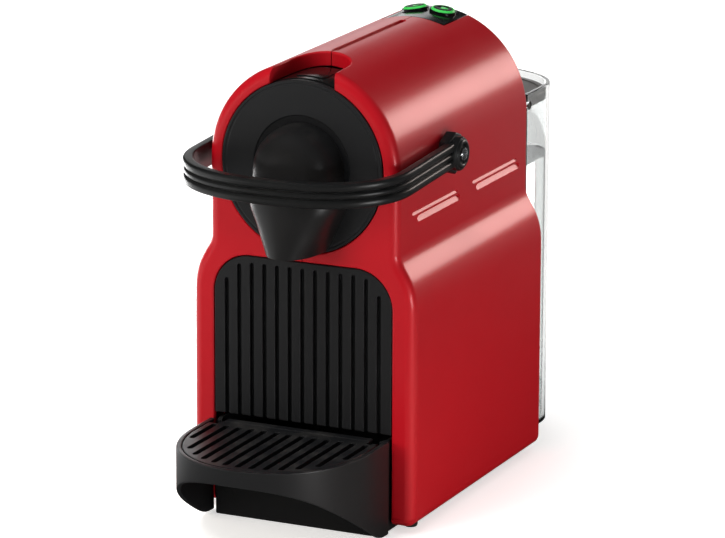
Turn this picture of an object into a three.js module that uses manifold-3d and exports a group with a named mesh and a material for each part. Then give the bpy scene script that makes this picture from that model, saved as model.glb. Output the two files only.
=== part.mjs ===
// A capsule espresso machine, in millimetres, with +Z up and the front facing -Y.
import * as THREE from "three";
import { mergeVertices } from "three/addons/utils/BufferGeometryUtils.js";
import Module from "manifold-3d";

const wasm = await Module();
wasm.setup();

// Driving dimensions. Places are measured with the casing's front face at y = 0, its middle
// plane at x = 0 and the table at z = 0.
const shellDepth = 160; // front face to back edge of the casing
const wall = 2.4; // casing wall
const gap = 0.3; // running gap between neighbouring pieces
const drumRadius = 51;
const drumHeight = 180; // height of the drum's axis
const bodyHalfWidth = 60.2;
const shellBottom = 3.4;
const cornerRadius = 5;
const shoulderTop = 141; // where the drum's side starts to flare out
const shoulderBottom = 112;
const frontEdge = 4; // rounding of the casing's front edge

const discRadius = 43.2;
const notchHalfWidth = 16.3;
const notchDepth = 33.2; // the capsule notch, from the front face to its round end
const notchWall = 2;
const shutterOuter = 43.6; // the shutter slides under the notch's wall
const shutterInner = 42;
const binHalfWidth = 48.2;
const binTop = 132;
const binCorner = 19.5;
const binBottom = 50;
const ribPitch = 6.89;
const ribCount = 13;

const pivotY = 56; // lever pivot
const pivotZ = 181;
const leverHalfWidth = 59.5;
const leverFront = -43;
const leverHeight = 12.6;
const leverThickness = 5;
const leverSlope = 0.05; // the loop falls a little towards the front
const crankRadius = 16;
const rodLength = 18;
const rodPinY = pivotY - crankRadius - rodLength;

const trayTop = 48;
const trayHalfWidth = 49;
const trayFront = -78.5;
const trayCentreY = -22; // centre of the tray's rounded front
const trayHinge = { y: -6, z: 43 };
const gridSlotPitch = 6.9;
const baseFront = -9.7;
const baseBottom = 0.4;

const tankHalfWidth = 49.2;
const tankFront = 161.2;
const tankBack = 223.5;
const tankRoundY = 190; // where the tank's back starts to round
const tankBottom = 5;
const tankTop = 188;
const lidPivot = { y: 167.8, z: 181.5 };
const valveY = 186;

const buttonY = 150;
const buttonTilt = Math.asin(7.75 / drumRadius);

// Materials.
const paint = (color, roughness, metalness = 0) =>
  new THREE.MeshStandardMaterial({ color, roughness, metalness });
const redGloss = () => paint(0xa3121f, 0.14);
const blackSatin = () => paint(0x17181a, 0.42);
const blackGloss = () => paint(0x0c0d0f, 0.12);
const greyPlastic = () => paint(0x5a5c60, 0.5);
const whitePlastic = () => paint(0xd8d6cf, 0.5);
const rubber = () => paint(0x1c1c1c, 0.85);
const chrome = () => paint(0xd0d2d4, 0.1, 1);
const steel = () => paint(0xa9abad, 0.3, 1);
const aluminium = () => paint(0xb4b6b8, 0.45, 1);
const silicone = () => paint(0xd9d4c8, 0.6);

function clearPlastic() {
  const material = paint(0xe6eef0, 0.08);
  material.transparent = true;
  material.opacity = 0.35;
  return material;
}

function greenLight() {
  const material = paint(0x3cb44b, 0.3);
  material.emissive.set(0x1d7a2a);
  return material;
}

const machine = new THREE.Group();

// Turns a closed three.js geometry into a solid that can be joined and cut.
function solid(geometry) {
  geometry.deleteAttribute("normal");
  geometry.deleteAttribute("uv");
  const merged = mergeVertices(geometry, 1e-4);
  const corners = merged.index.array;
  const kept = [];
  for (let i = 0; i < corners.length; i += 3) {
    const [a, b, c] = corners.slice(i, i + 3);
    if (a !== b && b !== c && c !== a) kept.push(a, b, c);
  }
  const body = new wasm.Mesh({
    numProp: 3,
    vertProperties: Float32Array.from(merged.attributes.position.array),
    triVerts: Uint32Array.from(kept),
  });
  return new wasm.Manifold(body);
}

const join = (first, ...others) => others.reduce((all, next) => all.add(next), first);
const cut = (first, ...others) => others.reduce((left, next) => left.subtract(next), first);

// Adds a named mesh of a solid to the machine, or to a group of its own.
function addPart(name, shape, material, parent = machine) {
  const { vertProperties, triVerts } = shape.getMesh();
  const geometry = new THREE.BufferGeometry();
  geometry.setAttribute("position", new THREE.BufferAttribute(vertProperties, 3));
  geometry.setIndex(new THREE.BufferAttribute(triVerts, 1));
  geometry.computeVertexNormals();
  const mesh = new THREE.Mesh(geometry, material);
  mesh.name = name;
  parent.add(mesh);
}

const point = (x, y) => new THREE.Vector2(x, y);

function box(x, y, z) {
  const geometry = new THREE.BoxGeometry(x[1] - x[0], y[1] - y[0], z[1] - z[0]);
  geometry.translate((x[0] + x[1]) / 2, (y[0] + y[1]) / 2, (z[0] + z[1]) / 2);
  return solid(geometry);
}

function extrude(points, depth, bevel = 0) {
  return new THREE.ExtrudeGeometry(new THREE.Shape(points), {
    depth: depth - 2 * bevel,
    bevelEnabled: bevel > 0,
    bevelThickness: bevel,
    bevelSize: bevel,
    bevelOffset: -bevel,
    bevelSegments: 3,
  }).translate(0, 0, bevel);
}

// An outline in x and z, drawn out from y0 to y1.
function alongY(points, y0, y1, bevel = 0) {
  return solid(extrude(points, y1 - y0, bevel).rotateX(Math.PI / 2).translate(0, y1, 0));
}

// An outline in y and z, drawn out from x0 to x1.
function alongX(points, x0, x1) {
  const turn = new THREE.Matrix4().set(0, 0, 1, x0, 1, 0, 0, 0, 0, 1, 0, 0, 0, 0, 0, 1);
  return solid(extrude(points, x1 - x0).applyMatrix4(turn));
}

// An outline in x and y, drawn up from z0 to z1.
const alongZ = (points, z0, z1) => solid(extrude(points, z1 - z0).translate(0, 0, z0));

function arc(cx, cy, radius, from, to, steps) {
  return Array.from({ length: steps + 1 }, (_, i) => {
    const angle = THREE.MathUtils.degToRad(from + ((to - from) * i) / steps);
    return point(cx + radius * Math.cos(angle), cy + radius * Math.sin(angle));
  });
}

const circle = (cx, cy, radius, steps = 24) => arc(cx, cy, radius, 0, 360, steps).slice(0, -1);
const roundX = (y, z, r, x0, x1, steps) => alongX(circle(y, z, r, steps), x0, x1);
const roundY = (x, z, r, y0, y1, steps) => alongY(circle(x, z, r, steps), y0, y1);
const roundZ = (x, y, r, z0, z1, steps) => alongZ(circle(x, y, r, steps), z0, z1);

// A bar with two round ends, as an outline.
function link(a, b, radiusA, radiusB, steps = 8) {
  const angle = THREE.MathUtils.radToDeg(Math.atan2(b[1] - a[1], b[0] - a[0]));
  return [
    ...arc(b[0], b[1], radiusB, angle - 90, angle + 90, steps),
    ...arc(a[0], a[1], radiusA, angle + 90, angle + 270, steps),
  ];
}

// A tube of the given radius through a list of places.
function tube(places, radius, steps, sides = 8) {
  const path = new THREE.CatmullRomCurve3(places.map((p) => new THREE.Vector3(...p)));
  const section = new THREE.Shape(circle(0, 0, radius, sides));
  return solid(new THREE.ExtrudeGeometry(section, { extrudePath: path, steps, bevelEnabled: false }));
}

function coil(radius, wire, bottom, top, turns) {
  const steps = turns * 8;
  const places = Array.from({ length: steps + 1 }, (_, i) => {
    const angle = (2 * Math.PI * turns * i) / steps;
    return [
      radius * Math.cos(angle),
      radius * Math.sin(angle),
      bottom + wire + ((top - bottom - 2 * wire) * i) / steps,
    ];
  });
  return tube(places, wire, steps, 5);
}

const sides = [
  ["left", -1],
  ["right", 1],
];

// The x range of a piece that repeats on both sides of the middle plane.
const span = (side, inner, outer) => (side < 0 ? [-outer, -inner] : [inner, outer]);

// The casing's outline in x and z: a round drum on a wider body, with flared shoulders.
function shellOutline(inset) {
  const shoulder = new THREE.CubicBezierCurve(
    point(bodyHalfWidth, shoulderBottom),
    point(bodyHalfWidth, shoulderBottom + 18),
    point(drumRadius, shoulderTop - 8),
    point(drumRadius, shoulderTop),
  );
  const flare = Array.from({ length: 9 }, (_, i) => {
    const along = shoulder.getTangent(i / 8);
    const at = shoulder.getPoint(i / 8);
    return point(at.x - along.y * inset, at.y + along.x * inset);
  });
  const corner = bodyHalfWidth - cornerRadius;
  const right = [
    ...arc(corner, shellBottom + cornerRadius, cornerRadius - inset, -90, 0, 4),
    ...flare,
    ...arc(0, drumHeight, drumRadius - inset, 0, 90, 14),
  ];
  const left = right.slice(0, -1).reverse().map((p) => point(-p.x, p.y));
  return [...right, ...left];
}

// The capsule notch in x and y: straight sides and a round end.
function notchOutline(grown) {
  const half = notchHalfWidth + grown;
  const middle = notchDepth - notchHalfWidth;
  return [point(-half, -5), point(half, -5), ...arc(0, middle, half, 0, 180, 16)];
}

// The bin's front, and the opening that it fills: straight sides and large upper corners.
function binOutline(inset, bottom = binBottom) {
  const half = binHalfWidth - inset;
  const radius = binCorner - inset;
  const middleX = binHalfWidth - binCorner;
  const middleZ = binTop - binCorner;
  return [
    point(-half, bottom),
    point(half, bottom),
    ...arc(middleX, middleZ, radius, 0, 90, 6),
    ...arc(-middleX, middleZ, radius, 90, 180, 6),
  ];
}

// Two halves of casing, joined on the middle plane.
function addShells() {
  const outer = cut(
    alongY(shellOutline(0), 0, shellDepth + 2 * frontEdge, frontEdge),
    box([-80, 80], [shellDepth, shellDepth + 20], [-10, 250]),
  );
  const grooveRows = [
    { z: drumHeight - 22.3, half: 0.7, runs: [[17.7, 72], [90.7, 146.7]] },
    { z: drumHeight - 25.8, half: 1.3, runs: [[23.8, 75.4], [95.3, 150.3]] },
  ];
  const grooveDepth = 1.1;
  const notchRim = cut(
    alongZ(notchOutline(notchWall), 200, 240).intersect(
      roundY(0, drumHeight, drumRadius - 0.6, wall, 60, 56)),
    roundY(0, drumHeight, shutterOuter + 0.4, 0, 60, 56),
  );
  const openings = [
    alongY(binOutline(-0.4, -20), -5, wall + 1),
    roundY(0, drumHeight, discRadius + gap, -5, wall + 1, 48),
    box([-48.6, 48.6], [-5, 68], [-10, 8]),
    box([-46, 46], [67, shellDepth + 5], [-10, 8]),
    alongZ(notchOutline(0), 210, 250),
    box([-17.6, 17.6], [128.7, shellDepth + 5], [210, 250]),
    box([-1.75, 1.75], [36, 119], [drumHeight + drumRadius - 1, 250]),
    roundX(pivotY, pivotZ, 6.8, -70, 70, 20),
  ];
  for (const row of grooveRows) {
    for (const run of row.runs) {
      for (const [, side] of sides) {
        const across = span(side, drumRadius - grooveDepth, 70);
        openings.push(box(across, run, [row.z - row.half, row.z + row.half]));
      }
    }
  }
  const hollow = alongY(shellOutline(wall), wall, shellDepth + 5);
  const shell = cut(join(cut(outer, hollow), notchRim), ...openings);
  for (const [name, side] of sides) {
    const half = box(span(side, gap / 2, 80), [-5, 200], [-10, 250]);
    addPart(`${name}_shell`, shell.intersect(half), redGloss());
  }
}

// Bottom, back and inner frame.
function addChassis() {
  const flangeTop = shellBottom + wall + gap;
  const plate = cut(
    box([-55.4, 55.4], [3, 157], [flangeTop, flangeTop + 2.4]),
    box([-49.5, 49.5], [0, 68], [0, 20]),
  );
  addPart("base_plate", plate, blackSatin());

  const inlet = { x: -53.4, z: 16 };
  const back = cut(
    alongY(shellOutline(wall + gap), shellDepth - 2.7, shellDepth),
    box([-70, 70], [150, 170], [-5, flangeTop + 2.7]),
    box([-17.6, 17.6], [150, 170], [222, 250]),
    roundY(inlet.x, inlet.z, 3.5, 150, 170, 16),
  );
  addPart("rear_panel", back, blackSatin());
  addPart("cord_inlet", join(
    roundY(inlet.x, inlet.z, 3.2, 150, 165, 16),
    roundY(inlet.x, inlet.z, 3.9, 160.3, 162.5, 16),
  ), rubber());

  const upright = join(
    box([-50, 50], [64.3, 67], [flangeTop + 2.7, 126]),
    box([-44, 44], [64.3, 67], [125, 160]),
  );
  const shelf = box([-44, 44], [66, 122], [137, 140]);
  const posts = sides.map(([, side]) => box(span(side, 24, 34), [66, 76], [139, 161.6]));
  addPart("inner_frame", join(upright, shelf, ...posts), greyPlastic());
}

function addTankDock() {
  const outline = [
    point(-44, 148),
    point(44, 148),
    point(44, tankRoundY),
    ...arc(0, 0, 1, 0, 180, 14).map((p) => point(p.x * 44, tankRoundY + p.y * 26)),
  ];
  const dock = cut(alongZ(outline.slice(0, -1), 2.4, 4.6), roundZ(0, valveY, 7.3, 0, 10, 20));
  addPart("tank_dock", dock, blackSatin());
  addPart("valve_seat", join(
    roundZ(0, valveY, 7, 2.2, 4.3, 20),
    roundZ(0, valveY, 1.5, 4, 5.7, 12),
  ), greyPlastic());
  addPart("seat_seal", cut(
    roundZ(0, valveY, 6.5, 4.6, 5.3, 20),
    roundZ(0, valveY, 3, 4, 6, 20),
  ), rubber());
}

function addFeet() {
  const footRadius = 5;
  for (const [name, side] of sides) {
    addPart(`front_foot_${name}`, roundZ(side * 54, 12, footRadius, 0, 3.1, 16), rubber());
    addPart(`rear_foot_${name}`, roundZ(side * 28, 204, footRadius, 0, 2.1, 16), rubber());
  }
}

// The round black front with the coffee outlet.
function addFront() {
  const face = cut(
    roundY(0, drumHeight, discRadius, -0.5, 2.6, 48),
    roundY(0, drumHeight, 26, -2, 0.5, 36),
    roundY(0, drumHeight, 14, -2, 5, 24),
  );
  addPart("front_disc", face, blackGloss());

  const outletPath = [
    [0, 1.5, 176],
    [0, -6, 174],
    [0, -14, 166],
    [0, -18, 154],
    [0, -18, 141.5],
  ];
  const domeSide = [
    point(0.2, 172),
    point(-0.8, 171),
    point(-0.8, 163),
    point(-5, 148),
    point(-9, 139.5),
    point(-28, 139.5),
    point(-27, 148),
    point(-24, 162),
    ...arc(0.2, drumHeight, 22, 205, 90, 10),
  ];
  const flank = [
    point(13.5, 139.5),
    point(19.5, 152),
    point(23.8, 162),
    point(24.2, 168),
    point(23, 174),
  ];
  const domeFront = [
    ...flank,
    ...arc(0, drumHeight, 22, 0, 180, 20),
    ...flank.map((p) => point(-p.x, p.y)).reverse(),
  ];
  const mass = alongX(domeSide, -25, 25).intersect(alongY(domeFront, -40, 10));
  const channel = tube([[0, 4, 176.5], ...outletPath.slice(1, -1), [0, -18, 136]], 4.4, 14, 10);
  addPart("spout_cover", cut(mass, channel), blackSatin());
  addPart("coffee_outlet", tube(outletPath, 3.2, 12, 10), silicone());
}

// The fixed half of the brewing unit.
function addBrewFrame() {
  const frontPlate = roundY(0, drumHeight, 40, 3, 6, 36);
  const cheeks = sides.map(([, side]) => box(span(side, 28, 31), [5, 76], [162, 205]));
  const bridge = box([-31, 31], [73, 76], [162, 205]);
  const slotTop = pivotZ + 3;
  const slots = box([-50, 50], [rodPinY - 3.5, rodPinY + 32], [slotTop - 6, slotTop]);
  const frame = cut(
    join(frontPlate, ...cheeks, bridge),
    slots,
    roundY(0, drumHeight, 18, 0, 10, 28),
    roundY(0, drumHeight, 9, 70, 80, 16),
  );
  addPart("brew_frame", frame, greyPlastic());
  const cell = join(
    roundY(0, drumHeight, 17.6, 3.2, 6.4, 28),
    roundY(0, drumHeight, 15, 6, 8.4, 28),
  );
  addPart("extraction_plate", cell, steel());
}

// The capsule cage and what closes the capsule slot.
function addCarriage() {
  const mouth = 10;
  const back = 40;
  const cage = cut(
    roundY(0, drumHeight, 20, mouth, back, 28),
    roundY(0, drumHeight, 15.5, mouth - 1, back - 4, 28),
  );
  const pins = sides.map(([, side]) => roundX(rodPinY, pivotZ, 2.4, ...span(side, 18, 34.1), 12));
  addPart("capsule_cage", join(cage, ...pins), whitePlastic());
  addPart("cage_seal", cut(
    roundY(0, drumHeight, 19.4, mouth - 1.2, mouth - gap, 28),
    roundY(0, drumHeight, 16.2, 0, 20, 28),
  ), rubber());
  const blades = [90, 210, 330].map((angle) => {
    const at = arc(0, drumHeight, 7, angle, angle, 1)[0];
    return roundY(at.x, at.y, 1.3, back - 9, back - 5, 6);
  });
  addPart("piercing_plate", join(roundY(0, drumHeight, 11, back - 6, back - 4.3, 20), ...blades), steel());
}

// A curved slice of the drum, between two radii and two angles from the top.
function drumSlice(inner, outer, halfAngle, y0, y1) {
  const outline = [
    ...arc(0, drumHeight, outer, 90 - halfAngle, 90 + halfAngle, 8),
    ...arc(0, drumHeight, inner, 90 + halfAngle, 90 - halfAngle, 8),
  ];
  return alongY(outline, y0, y1);
}

function addShutter() {
  addPart("slot_shutter", drumSlice(shutterInner, shutterOuter, 27, 3, 31), blackGloss());
}

// The lever loop, its shaft ends, cranks and connecting rods.
function addLever() {
  const loopCurve = (inset) => {
    const half = leverHalfWidth - inset;
    const reach = -leverFront - inset;
    return arc(0, 0, 1, 180, 360, 28).map((p) => point(
      Math.sign(p.x) * half * Math.abs(p.x) ** (2 / 2.3),
      -reach * Math.abs(p.y) ** (2 / 2.3),
    ));
  };
  const outline = [
    ...loopCurve(0),
    point(leverHalfWidth, pivotY),
    point(leverHalfWidth - leverThickness, pivotY),
    ...loopCurve(leverThickness).reverse(),
    point(leverThickness - leverHalfWidth, pivotY),
    point(-leverHalfWidth, pivotY),
  ];
  const turn = THREE.MathUtils.radToDeg(Math.atan(leverSlope));
  const band = alongZ(outline, -leverHeight / 2, leverHeight / 2)
    .translate([0, -pivotY, 0])
    .rotate([turn, 0, 0])
    .translate([0, pivotY, pivotZ + 0.5]);
  const bosses = sides.map(([, side]) =>
    roundX(pivotY, pivotZ, 8.5, ...span(side, drumRadius + 0.4, 61.6), 24));
  const dimples = sides.map(([, side]) => roundX(pivotY, pivotZ, 5.2, ...span(side, 60.2, 70), 20));
  addPart("lever_loop", cut(join(band, ...bosses), ...dimples), blackSatin());

  for (const [name, side] of sides) {
    const cap = roundX(pivotY, pivotZ, 3.2, ...span(side, 60.5, 61.9), 12);
    addPart(`lever_cap_${name}`, cap, chrome());
    const arm = link([pivotY, pivotZ], [pivotY - crankRadius, pivotZ], 6.5, 4);
    const crank = cut(
      join(
        alongX(arm, ...span(side, 34.9, 38)),
        roundX(pivotY, pivotZ, 4.5, ...span(side, 37, drumRadius + 0.1), 16),
      ),
      roundX(pivotY - crankRadius, pivotZ, 2, -50, 50, 10),
    );
    addPart(`crank_${name}`, crank, steel());
    const rod = cut(
      alongX(link([rodPinY, pivotZ], [rodPinY + rodLength, pivotZ], 4.2, 4), ...span(side, 31.8, 34.3)),
      roundX(rodPinY, pivotZ, 2.8, -50, 50, 12),
      roundX(rodPinY + rodLength, pivotZ, 2, -50, 50, 10),
    );
    addPart(`con_rod_${name}`, rod, steel());
    const bush = cut(
      roundX(pivotY, pivotZ, 6.5, ...span(side, 45, drumRadius + 0.1), 16),
      roundX(pivotY, pivotZ, 4.8, -80, 80, 16),
    );
    addPart(`lever_bush_${name}`, bush, whitePlastic());
  }
}

// The two brewing buttons on top, their lights, springs and circuit board.
function addButtons() {
  const tilted = (name, side) => {
    const group = new THREE.Group();
    group.name = name;
    group.position.set(0, buttonY, drumHeight);
    group.rotation.y = side * buttonTilt;
    machine.add(group);
    return group;
  };
  const collars = sides.map(([, side]) =>
    roundZ(0, 0, 7, 46.6, drumRadius + 0.9, 24)
      .rotate([0, side * THREE.MathUtils.radToDeg(buttonTilt), 0])
      .translate([0, buttonY, drumHeight]));
  const wells = sides.map(([, side]) =>
    roundZ(0, 0, 6.5, 30, drumRadius + 9, 24)
      .rotate([0, side * THREE.MathUtils.radToDeg(buttonTilt), 0])
      .translate([0, buttonY, drumHeight]));
  const plate = drumSlice(drumRadius - 2.6, drumRadius - 0.1, 19.6, 129, shellDepth);
  addPart("button_panel", cut(join(plate, ...collars), ...wells), blackGloss());

  const boardTop = 209.6;
  const board = box([-22, 22], [128, 156.5], [boardTop - 1.6, boardTop]);
  const switches = sides.map(([, side]) =>
    box([side * 5.6 - 3, side * 5.6 + 3], [buttonY - 3, buttonY + 3], [boardTop - 1, 213.6]));
  addPart("control_board", join(board, ...switches), paint(0x1f5f3a, 0.5));

  for (const [name, side] of sides) {
    const group = tilted(`${name}_button_axis`, side);
    const ring = cut(
      roundZ(0, 0, 6.2, 47.5, drumRadius + 1.3, 24),
      roundZ(0, 0, 5.3, 40, 60, 24),
    );
    addPart(`light_ring_${name}`, ring, greenLight(), group);
    const button = join(roundZ(0, 0, 5, 44.8, 53, 24), roundZ(0, 0, 1.9, 36.4, 45, 10));
    addPart(`button_${name}`, button, blackSatin(), group);
    addPart(`button_spring_${name}`, coil(3, 0.35, 34.8, 44.4, 5), steel(), group);
  }
}

// Pump, flow meter, heater and the hoses between them.
function addHydraulics() {
  const pump = { x: -27, z: 40 };
  const ring = (y0, y1) => cut(
    box([pump.x - 16, pump.x + 16], [y0, y1], [8.9, 56]),
    roundY(pump.x, pump.z, 9.4, y0 - 1, y1 + 1, 16),
  );
  addPart("pump_body", join(
    roundY(pump.x, pump.z, 9, 82, 138, 20),
    roundY(pump.x, pump.z, 4, 78, 143, 12),
  ), greyPlastic());
  addPart("pump_coil", cut(
    box([pump.x - 18, pump.x + 18], [94, 124], [pump.z - 17, pump.z + 17]),
    roundY(pump.x, pump.z, 9.4, 80, 140, 16),
  ), paint(0x2b3a6b, 0.5));
  addPart("pump_mount_front", ring(85, 91), rubber());
  addPart("pump_mount_rear", ring(128, 134), rubber());

  addPart("flow_meter", join(
    roundZ(26, 112, 14, 8.9, 24, 24),
    roundY(26, 16, 3, 118, 134, 10),
    roundY(26, 20, 3, 90, 106, 10),
  ), whitePlastic());

  const block = join(
    box([6, 46], [80, 138], [62, 98]),
    roundZ(26, 90, 4, 97, 106, 12),
    roundZ(26, 128, 4, 54, 63, 12),
    box([10, 14], [84, 92], [8.9, 63]),
    box([38, 42], [84, 92], [8.9, 63]),
  );
  addPart("heater_block", block, aluminium());
  addPart("thermostat", roundZ(26, 112, 8, 98.3, 103, 16), blackSatin());

  const hoses = {
    tank_hose: [[26, 134.4, 16], [26, 140, 16], [16, 149, 15], [0, 153, 13]],
    pump_hose: [[26, 89.6, 20], [26, 82, 20], [8, 74, 26], [-18, 71, 37], [-27, 73.5, 40], [-27, 77.3, 40]],
    heater_hose: [
      [-27, 143.7, 40],
      [-27, 147.5, 40],
      [-10, 152, 44],
      [16, 146, 44],
      [26, 129, 46],
      [26, 128, 53],
    ],
    brew_hose: [[26, 90, 106.4], [26, 90, 118], [20, 86, 128], [12, 80, 133]],
  };
  for (const [name, places] of Object.entries(hoses)) {
    addPart(name, tube(places, name === "brew_hose" ? 2.2 : 2.8, 10), silicone());
  }
}

// The cup tray's outline in x and y: straight sides and a rounded front.
function trayOutline(inset, back) {
  const half = trayHalfWidth - inset;
  const reach = trayCentreY - trayFront - inset;
  const front = arc(0, 0, 1, 180, 360, 28).map((p) => point(
    Math.sign(p.x) * half * Math.abs(p.x) ** (2 / 2.2),
    trayCentreY - reach * Math.abs(p.y) ** (2 / 2.2),
  ));
  return [...front, point(half, back), point(-half, back)];
}

// The slide-out base that catches drips, and the cup tray that hinges on it.
function addDripTray() {
  const baseOutline = (inset, back) => [
    point(-43 + inset, baseFront + inset),
    point(43 - inset, baseFront + inset),
    point(47 - inset, 2),
    point(47 - inset, back),
    point(-47 + inset, back),
    point(-47 + inset, 2),
  ];
  const earOutline = link([trayHinge.y, 36], [trayHinge.y, trayHinge.z], 3.6, 3.6);
  const base = cut(
    alongZ(baseOutline(0, 62), baseBottom, 47),
    box([-60, 60], [-20, -2.2], [38, 60]),
    alongZ(baseOutline(2, 60), baseBottom + 2, 60),
    roundX(trayHinge.y, trayHinge.z, 2.2, -60, 60, 12),
  );
  const ears = sides.map(([, side]) => cut(
    alongX(earOutline, ...span(side, 41, 43)),
    roundX(trayHinge.y, trayHinge.z, 2.2, -60, 60, 12),
  ));
  addPart("drip_base", join(base, ...ears), blackSatin());

  // The tray's lower edge rises towards the front.
  const underside = [
    point(5, -5),
    point(5, 0.5),
    point(-10, 0.5),
    point(-19, 3.6),
    point(-38, 15.5),
    point(-52, 24),
    point(-66, 33),
    point(-74, 38),
    point(-90, 42),
    point(-90, -5),
  ];
  const deckBottom = 41.5;
  const deckTop = 44.4;
  const tray = cut(
    alongZ(trayOutline(0, -4), 0.5, trayTop),
    alongX(underside, -60, 60),
    alongZ(trayOutline(2.2, 5), -5, deckBottom),
    alongZ(trayOutline(2.7, -6.5), deckTop, 60),
    ...sides.map(([, side]) => box(span(side, 40.2, 46.5), [-11, 5], [30, 60])),
    box([-30, 30], [-16, -11], [30, 60]),
  );
  const pins = sides.map(([, side]) =>
    roundX(trayHinge.y, trayHinge.z, 1.8, ...span(side, 40.6, 47.5), 12));
  addPart("cup_tray", join(tray, ...pins), blackSatin());

  const slots = [];
  for (let i = -6; i <= 6; i += 1) {
    const x = i * gridSlotPitch;
    const along = 1 - Math.abs(x / (trayHalfWidth - 6)) ** 2.2;
    const tip = trayCentreY - (trayCentreY - trayFront - 8) * along ** (1 / 2.2);
    slots.push(alongZ(link([x, -14], [x, tip], 1.6, 1.6, 4), 40, 60));
  }
  const grid = cut(alongZ(trayOutline(3.1, -6.9), deckTop + gap, trayTop), ...slots,
    ...sides.map(([, side]) => box(span(side, 39.9, 50), [-11.4, 5], [30, 60])));
  addPart("cup_grid", grid, blackSatin());
}

// The bin for used capsules, with its ribbed front.
function addCapsuleBin() {
  const bin = cut(
    alongY(binOutline(2, binBottom + 0.6), 3.8, 60),
    box([-44, 44], [6, 58], [binBottom + 3, 112]),
    box([-38, 38], [6, 58], [110, 150]),
  );
  addPart("capsule_bin", bin, blackSatin());

  const grooves = [];
  for (let i = 0; i < ribCount; i += 1) {
    const x = (i - (ribCount - 1) / 2) * ribPitch;
    const top = Math.abs(x) > 40 ? 117.5 : Math.abs(x) > 33 ? 125.7 : 126.5;
    grooves.push(alongY(link([x, binBottom - 5], [x, top], 1.22, 1.22, 4), -2, 2));
  }
  addPart("bin_front", cut(alongY(binOutline(0), 0.4, 3.5), ...grooves), blackSatin());
}

// The tank's outline in x and y.
function tankOutline(inset, front = tankFront + inset) {
  const half = tankHalfWidth - inset;
  const reach = tankBack - tankRoundY - inset;
  const corner = Math.max(4 - inset, 1);
  const back = arc(0, 0, 1, 0, 180, 24).map((p) => point(p.x * half, tankRoundY + p.y * reach));
  return [
    ...arc(-half + corner, front + corner, corner, 180, 270, 3),
    ...arc(half - corner, front + corner, corner, 270, 360, 3),
    ...back,
  ];
}

function addTank() {
  const guide = cut(
    roundZ(0, valveY, 11, tankBottom, 13, 20),
    roundZ(0, valveY, 7.4, 0, 5.6, 20),
    roundZ(0, valveY, 2.6, 0, 10, 12),
    roundZ(0, valveY, 8, 8, 20, 20),
  );
  const tank = join(
    cut(
      alongZ(tankOutline(0), tankBottom, tankTop),
      alongZ(tankOutline(2.2), tankBottom + 2.2, tankTop + 5),
      roundZ(0, valveY, 10.5, 0, 20, 20),
      roundX(lidPivot.y, lidPivot.z, 2.2, -60, 60, 12),
    ),
    guide,
  );
  addPart("water_tank", tank, clearPlastic());
  addPart("tank_valve", join(
    roundZ(0, valveY, 2.2, 6, 20, 12),
    roundZ(0, valveY, 6, 11.3, 13, 20),
  ), silicone());
  const springPlace = new THREE.Group();
  springPlace.position.set(0, valveY, 0);
  machine.add(springPlace);
  addPart("valve_spring", coil(4, 0.4, 13.3, 25.6, 5), steel(), springPlace);
  addPart("tank_filter", cut(
    roundZ(0, valveY, 10.6, 13.3, 28, 20),
    roundZ(0, valveY, 8.6, 13, 26, 20),
  ), whitePlastic());

  const lid = join(
    alongZ(tankOutline(2.8, lidPivot.y - 2.4), lidPivot.z - 2, lidPivot.z + 3.2),
    ...sides.map(([, side]) => roundX(lidPivot.y, lidPivot.z, 1.8, ...span(side, 40, 48.8), 12)),
  );
  const hollow = alongZ(tankOutline(5.5, lidPivot.y + 4), 170, lidPivot.z + 1);
  addPart("tank_lid", cut(lid, hollow), blackSatin());
}

addShells();
addChassis();
addTankDock();
addFeet();
addFront();
addBrewFrame();
addCarriage();
addShutter();
addLever();
addButtons();
addHydraulics();
addDripTray();
addCapsuleBin();
addTank();

// The origin is at the middle of the machine's footprint, on the table.
machine.position.y = -(trayFront + tankBack) / 2;

export default machine;
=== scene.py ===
import bmesh
import bpy
import math
from mathutils import Matrix, Vector


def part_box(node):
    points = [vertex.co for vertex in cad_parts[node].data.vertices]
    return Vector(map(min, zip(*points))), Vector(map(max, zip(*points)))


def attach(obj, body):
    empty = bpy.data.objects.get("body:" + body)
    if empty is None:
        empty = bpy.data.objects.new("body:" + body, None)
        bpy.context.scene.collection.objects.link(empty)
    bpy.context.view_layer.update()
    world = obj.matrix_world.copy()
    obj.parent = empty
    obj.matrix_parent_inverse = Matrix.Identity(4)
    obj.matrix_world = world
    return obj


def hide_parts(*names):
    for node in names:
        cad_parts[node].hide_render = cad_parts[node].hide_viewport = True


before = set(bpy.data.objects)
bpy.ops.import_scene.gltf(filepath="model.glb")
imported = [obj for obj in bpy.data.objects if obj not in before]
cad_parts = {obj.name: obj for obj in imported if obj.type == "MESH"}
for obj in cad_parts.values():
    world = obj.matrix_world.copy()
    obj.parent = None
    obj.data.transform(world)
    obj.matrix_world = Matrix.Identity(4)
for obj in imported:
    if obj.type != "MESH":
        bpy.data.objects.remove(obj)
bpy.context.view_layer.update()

mm = 0.001
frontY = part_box("left_shell")[0].y  # the casing's front face; all sizes below are in mm from it
sides = (("left", -1), ("right", 1))


def at(x, y, z):
    return Vector((x * mm, frontY + y * mm, z * mm))


# Mesh making

def tidyMesh(piece, merge=0.002):
    bm = bmesh.new()
    bm.from_mesh(piece.data)
    bmesh.ops.remove_doubles(bm, verts=bm.verts, dist=merge * mm)
    bmesh.ops.dissolve_degenerate(bm, edges=bm.edges, dist=merge * mm)
    bmesh.ops.delete(bm, geom=[e for e in bm.edges if not e.link_faces], context="EDGES")
    bmesh.ops.recalc_face_normals(bm, faces=bm.faces)
    bm.to_mesh(piece.data)
    bm.free()
    return piece


def linked(name, data):
    piece = bpy.data.objects.new(name, data)
    bpy.context.scene.collection.objects.link(piece)
    return piece


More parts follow.
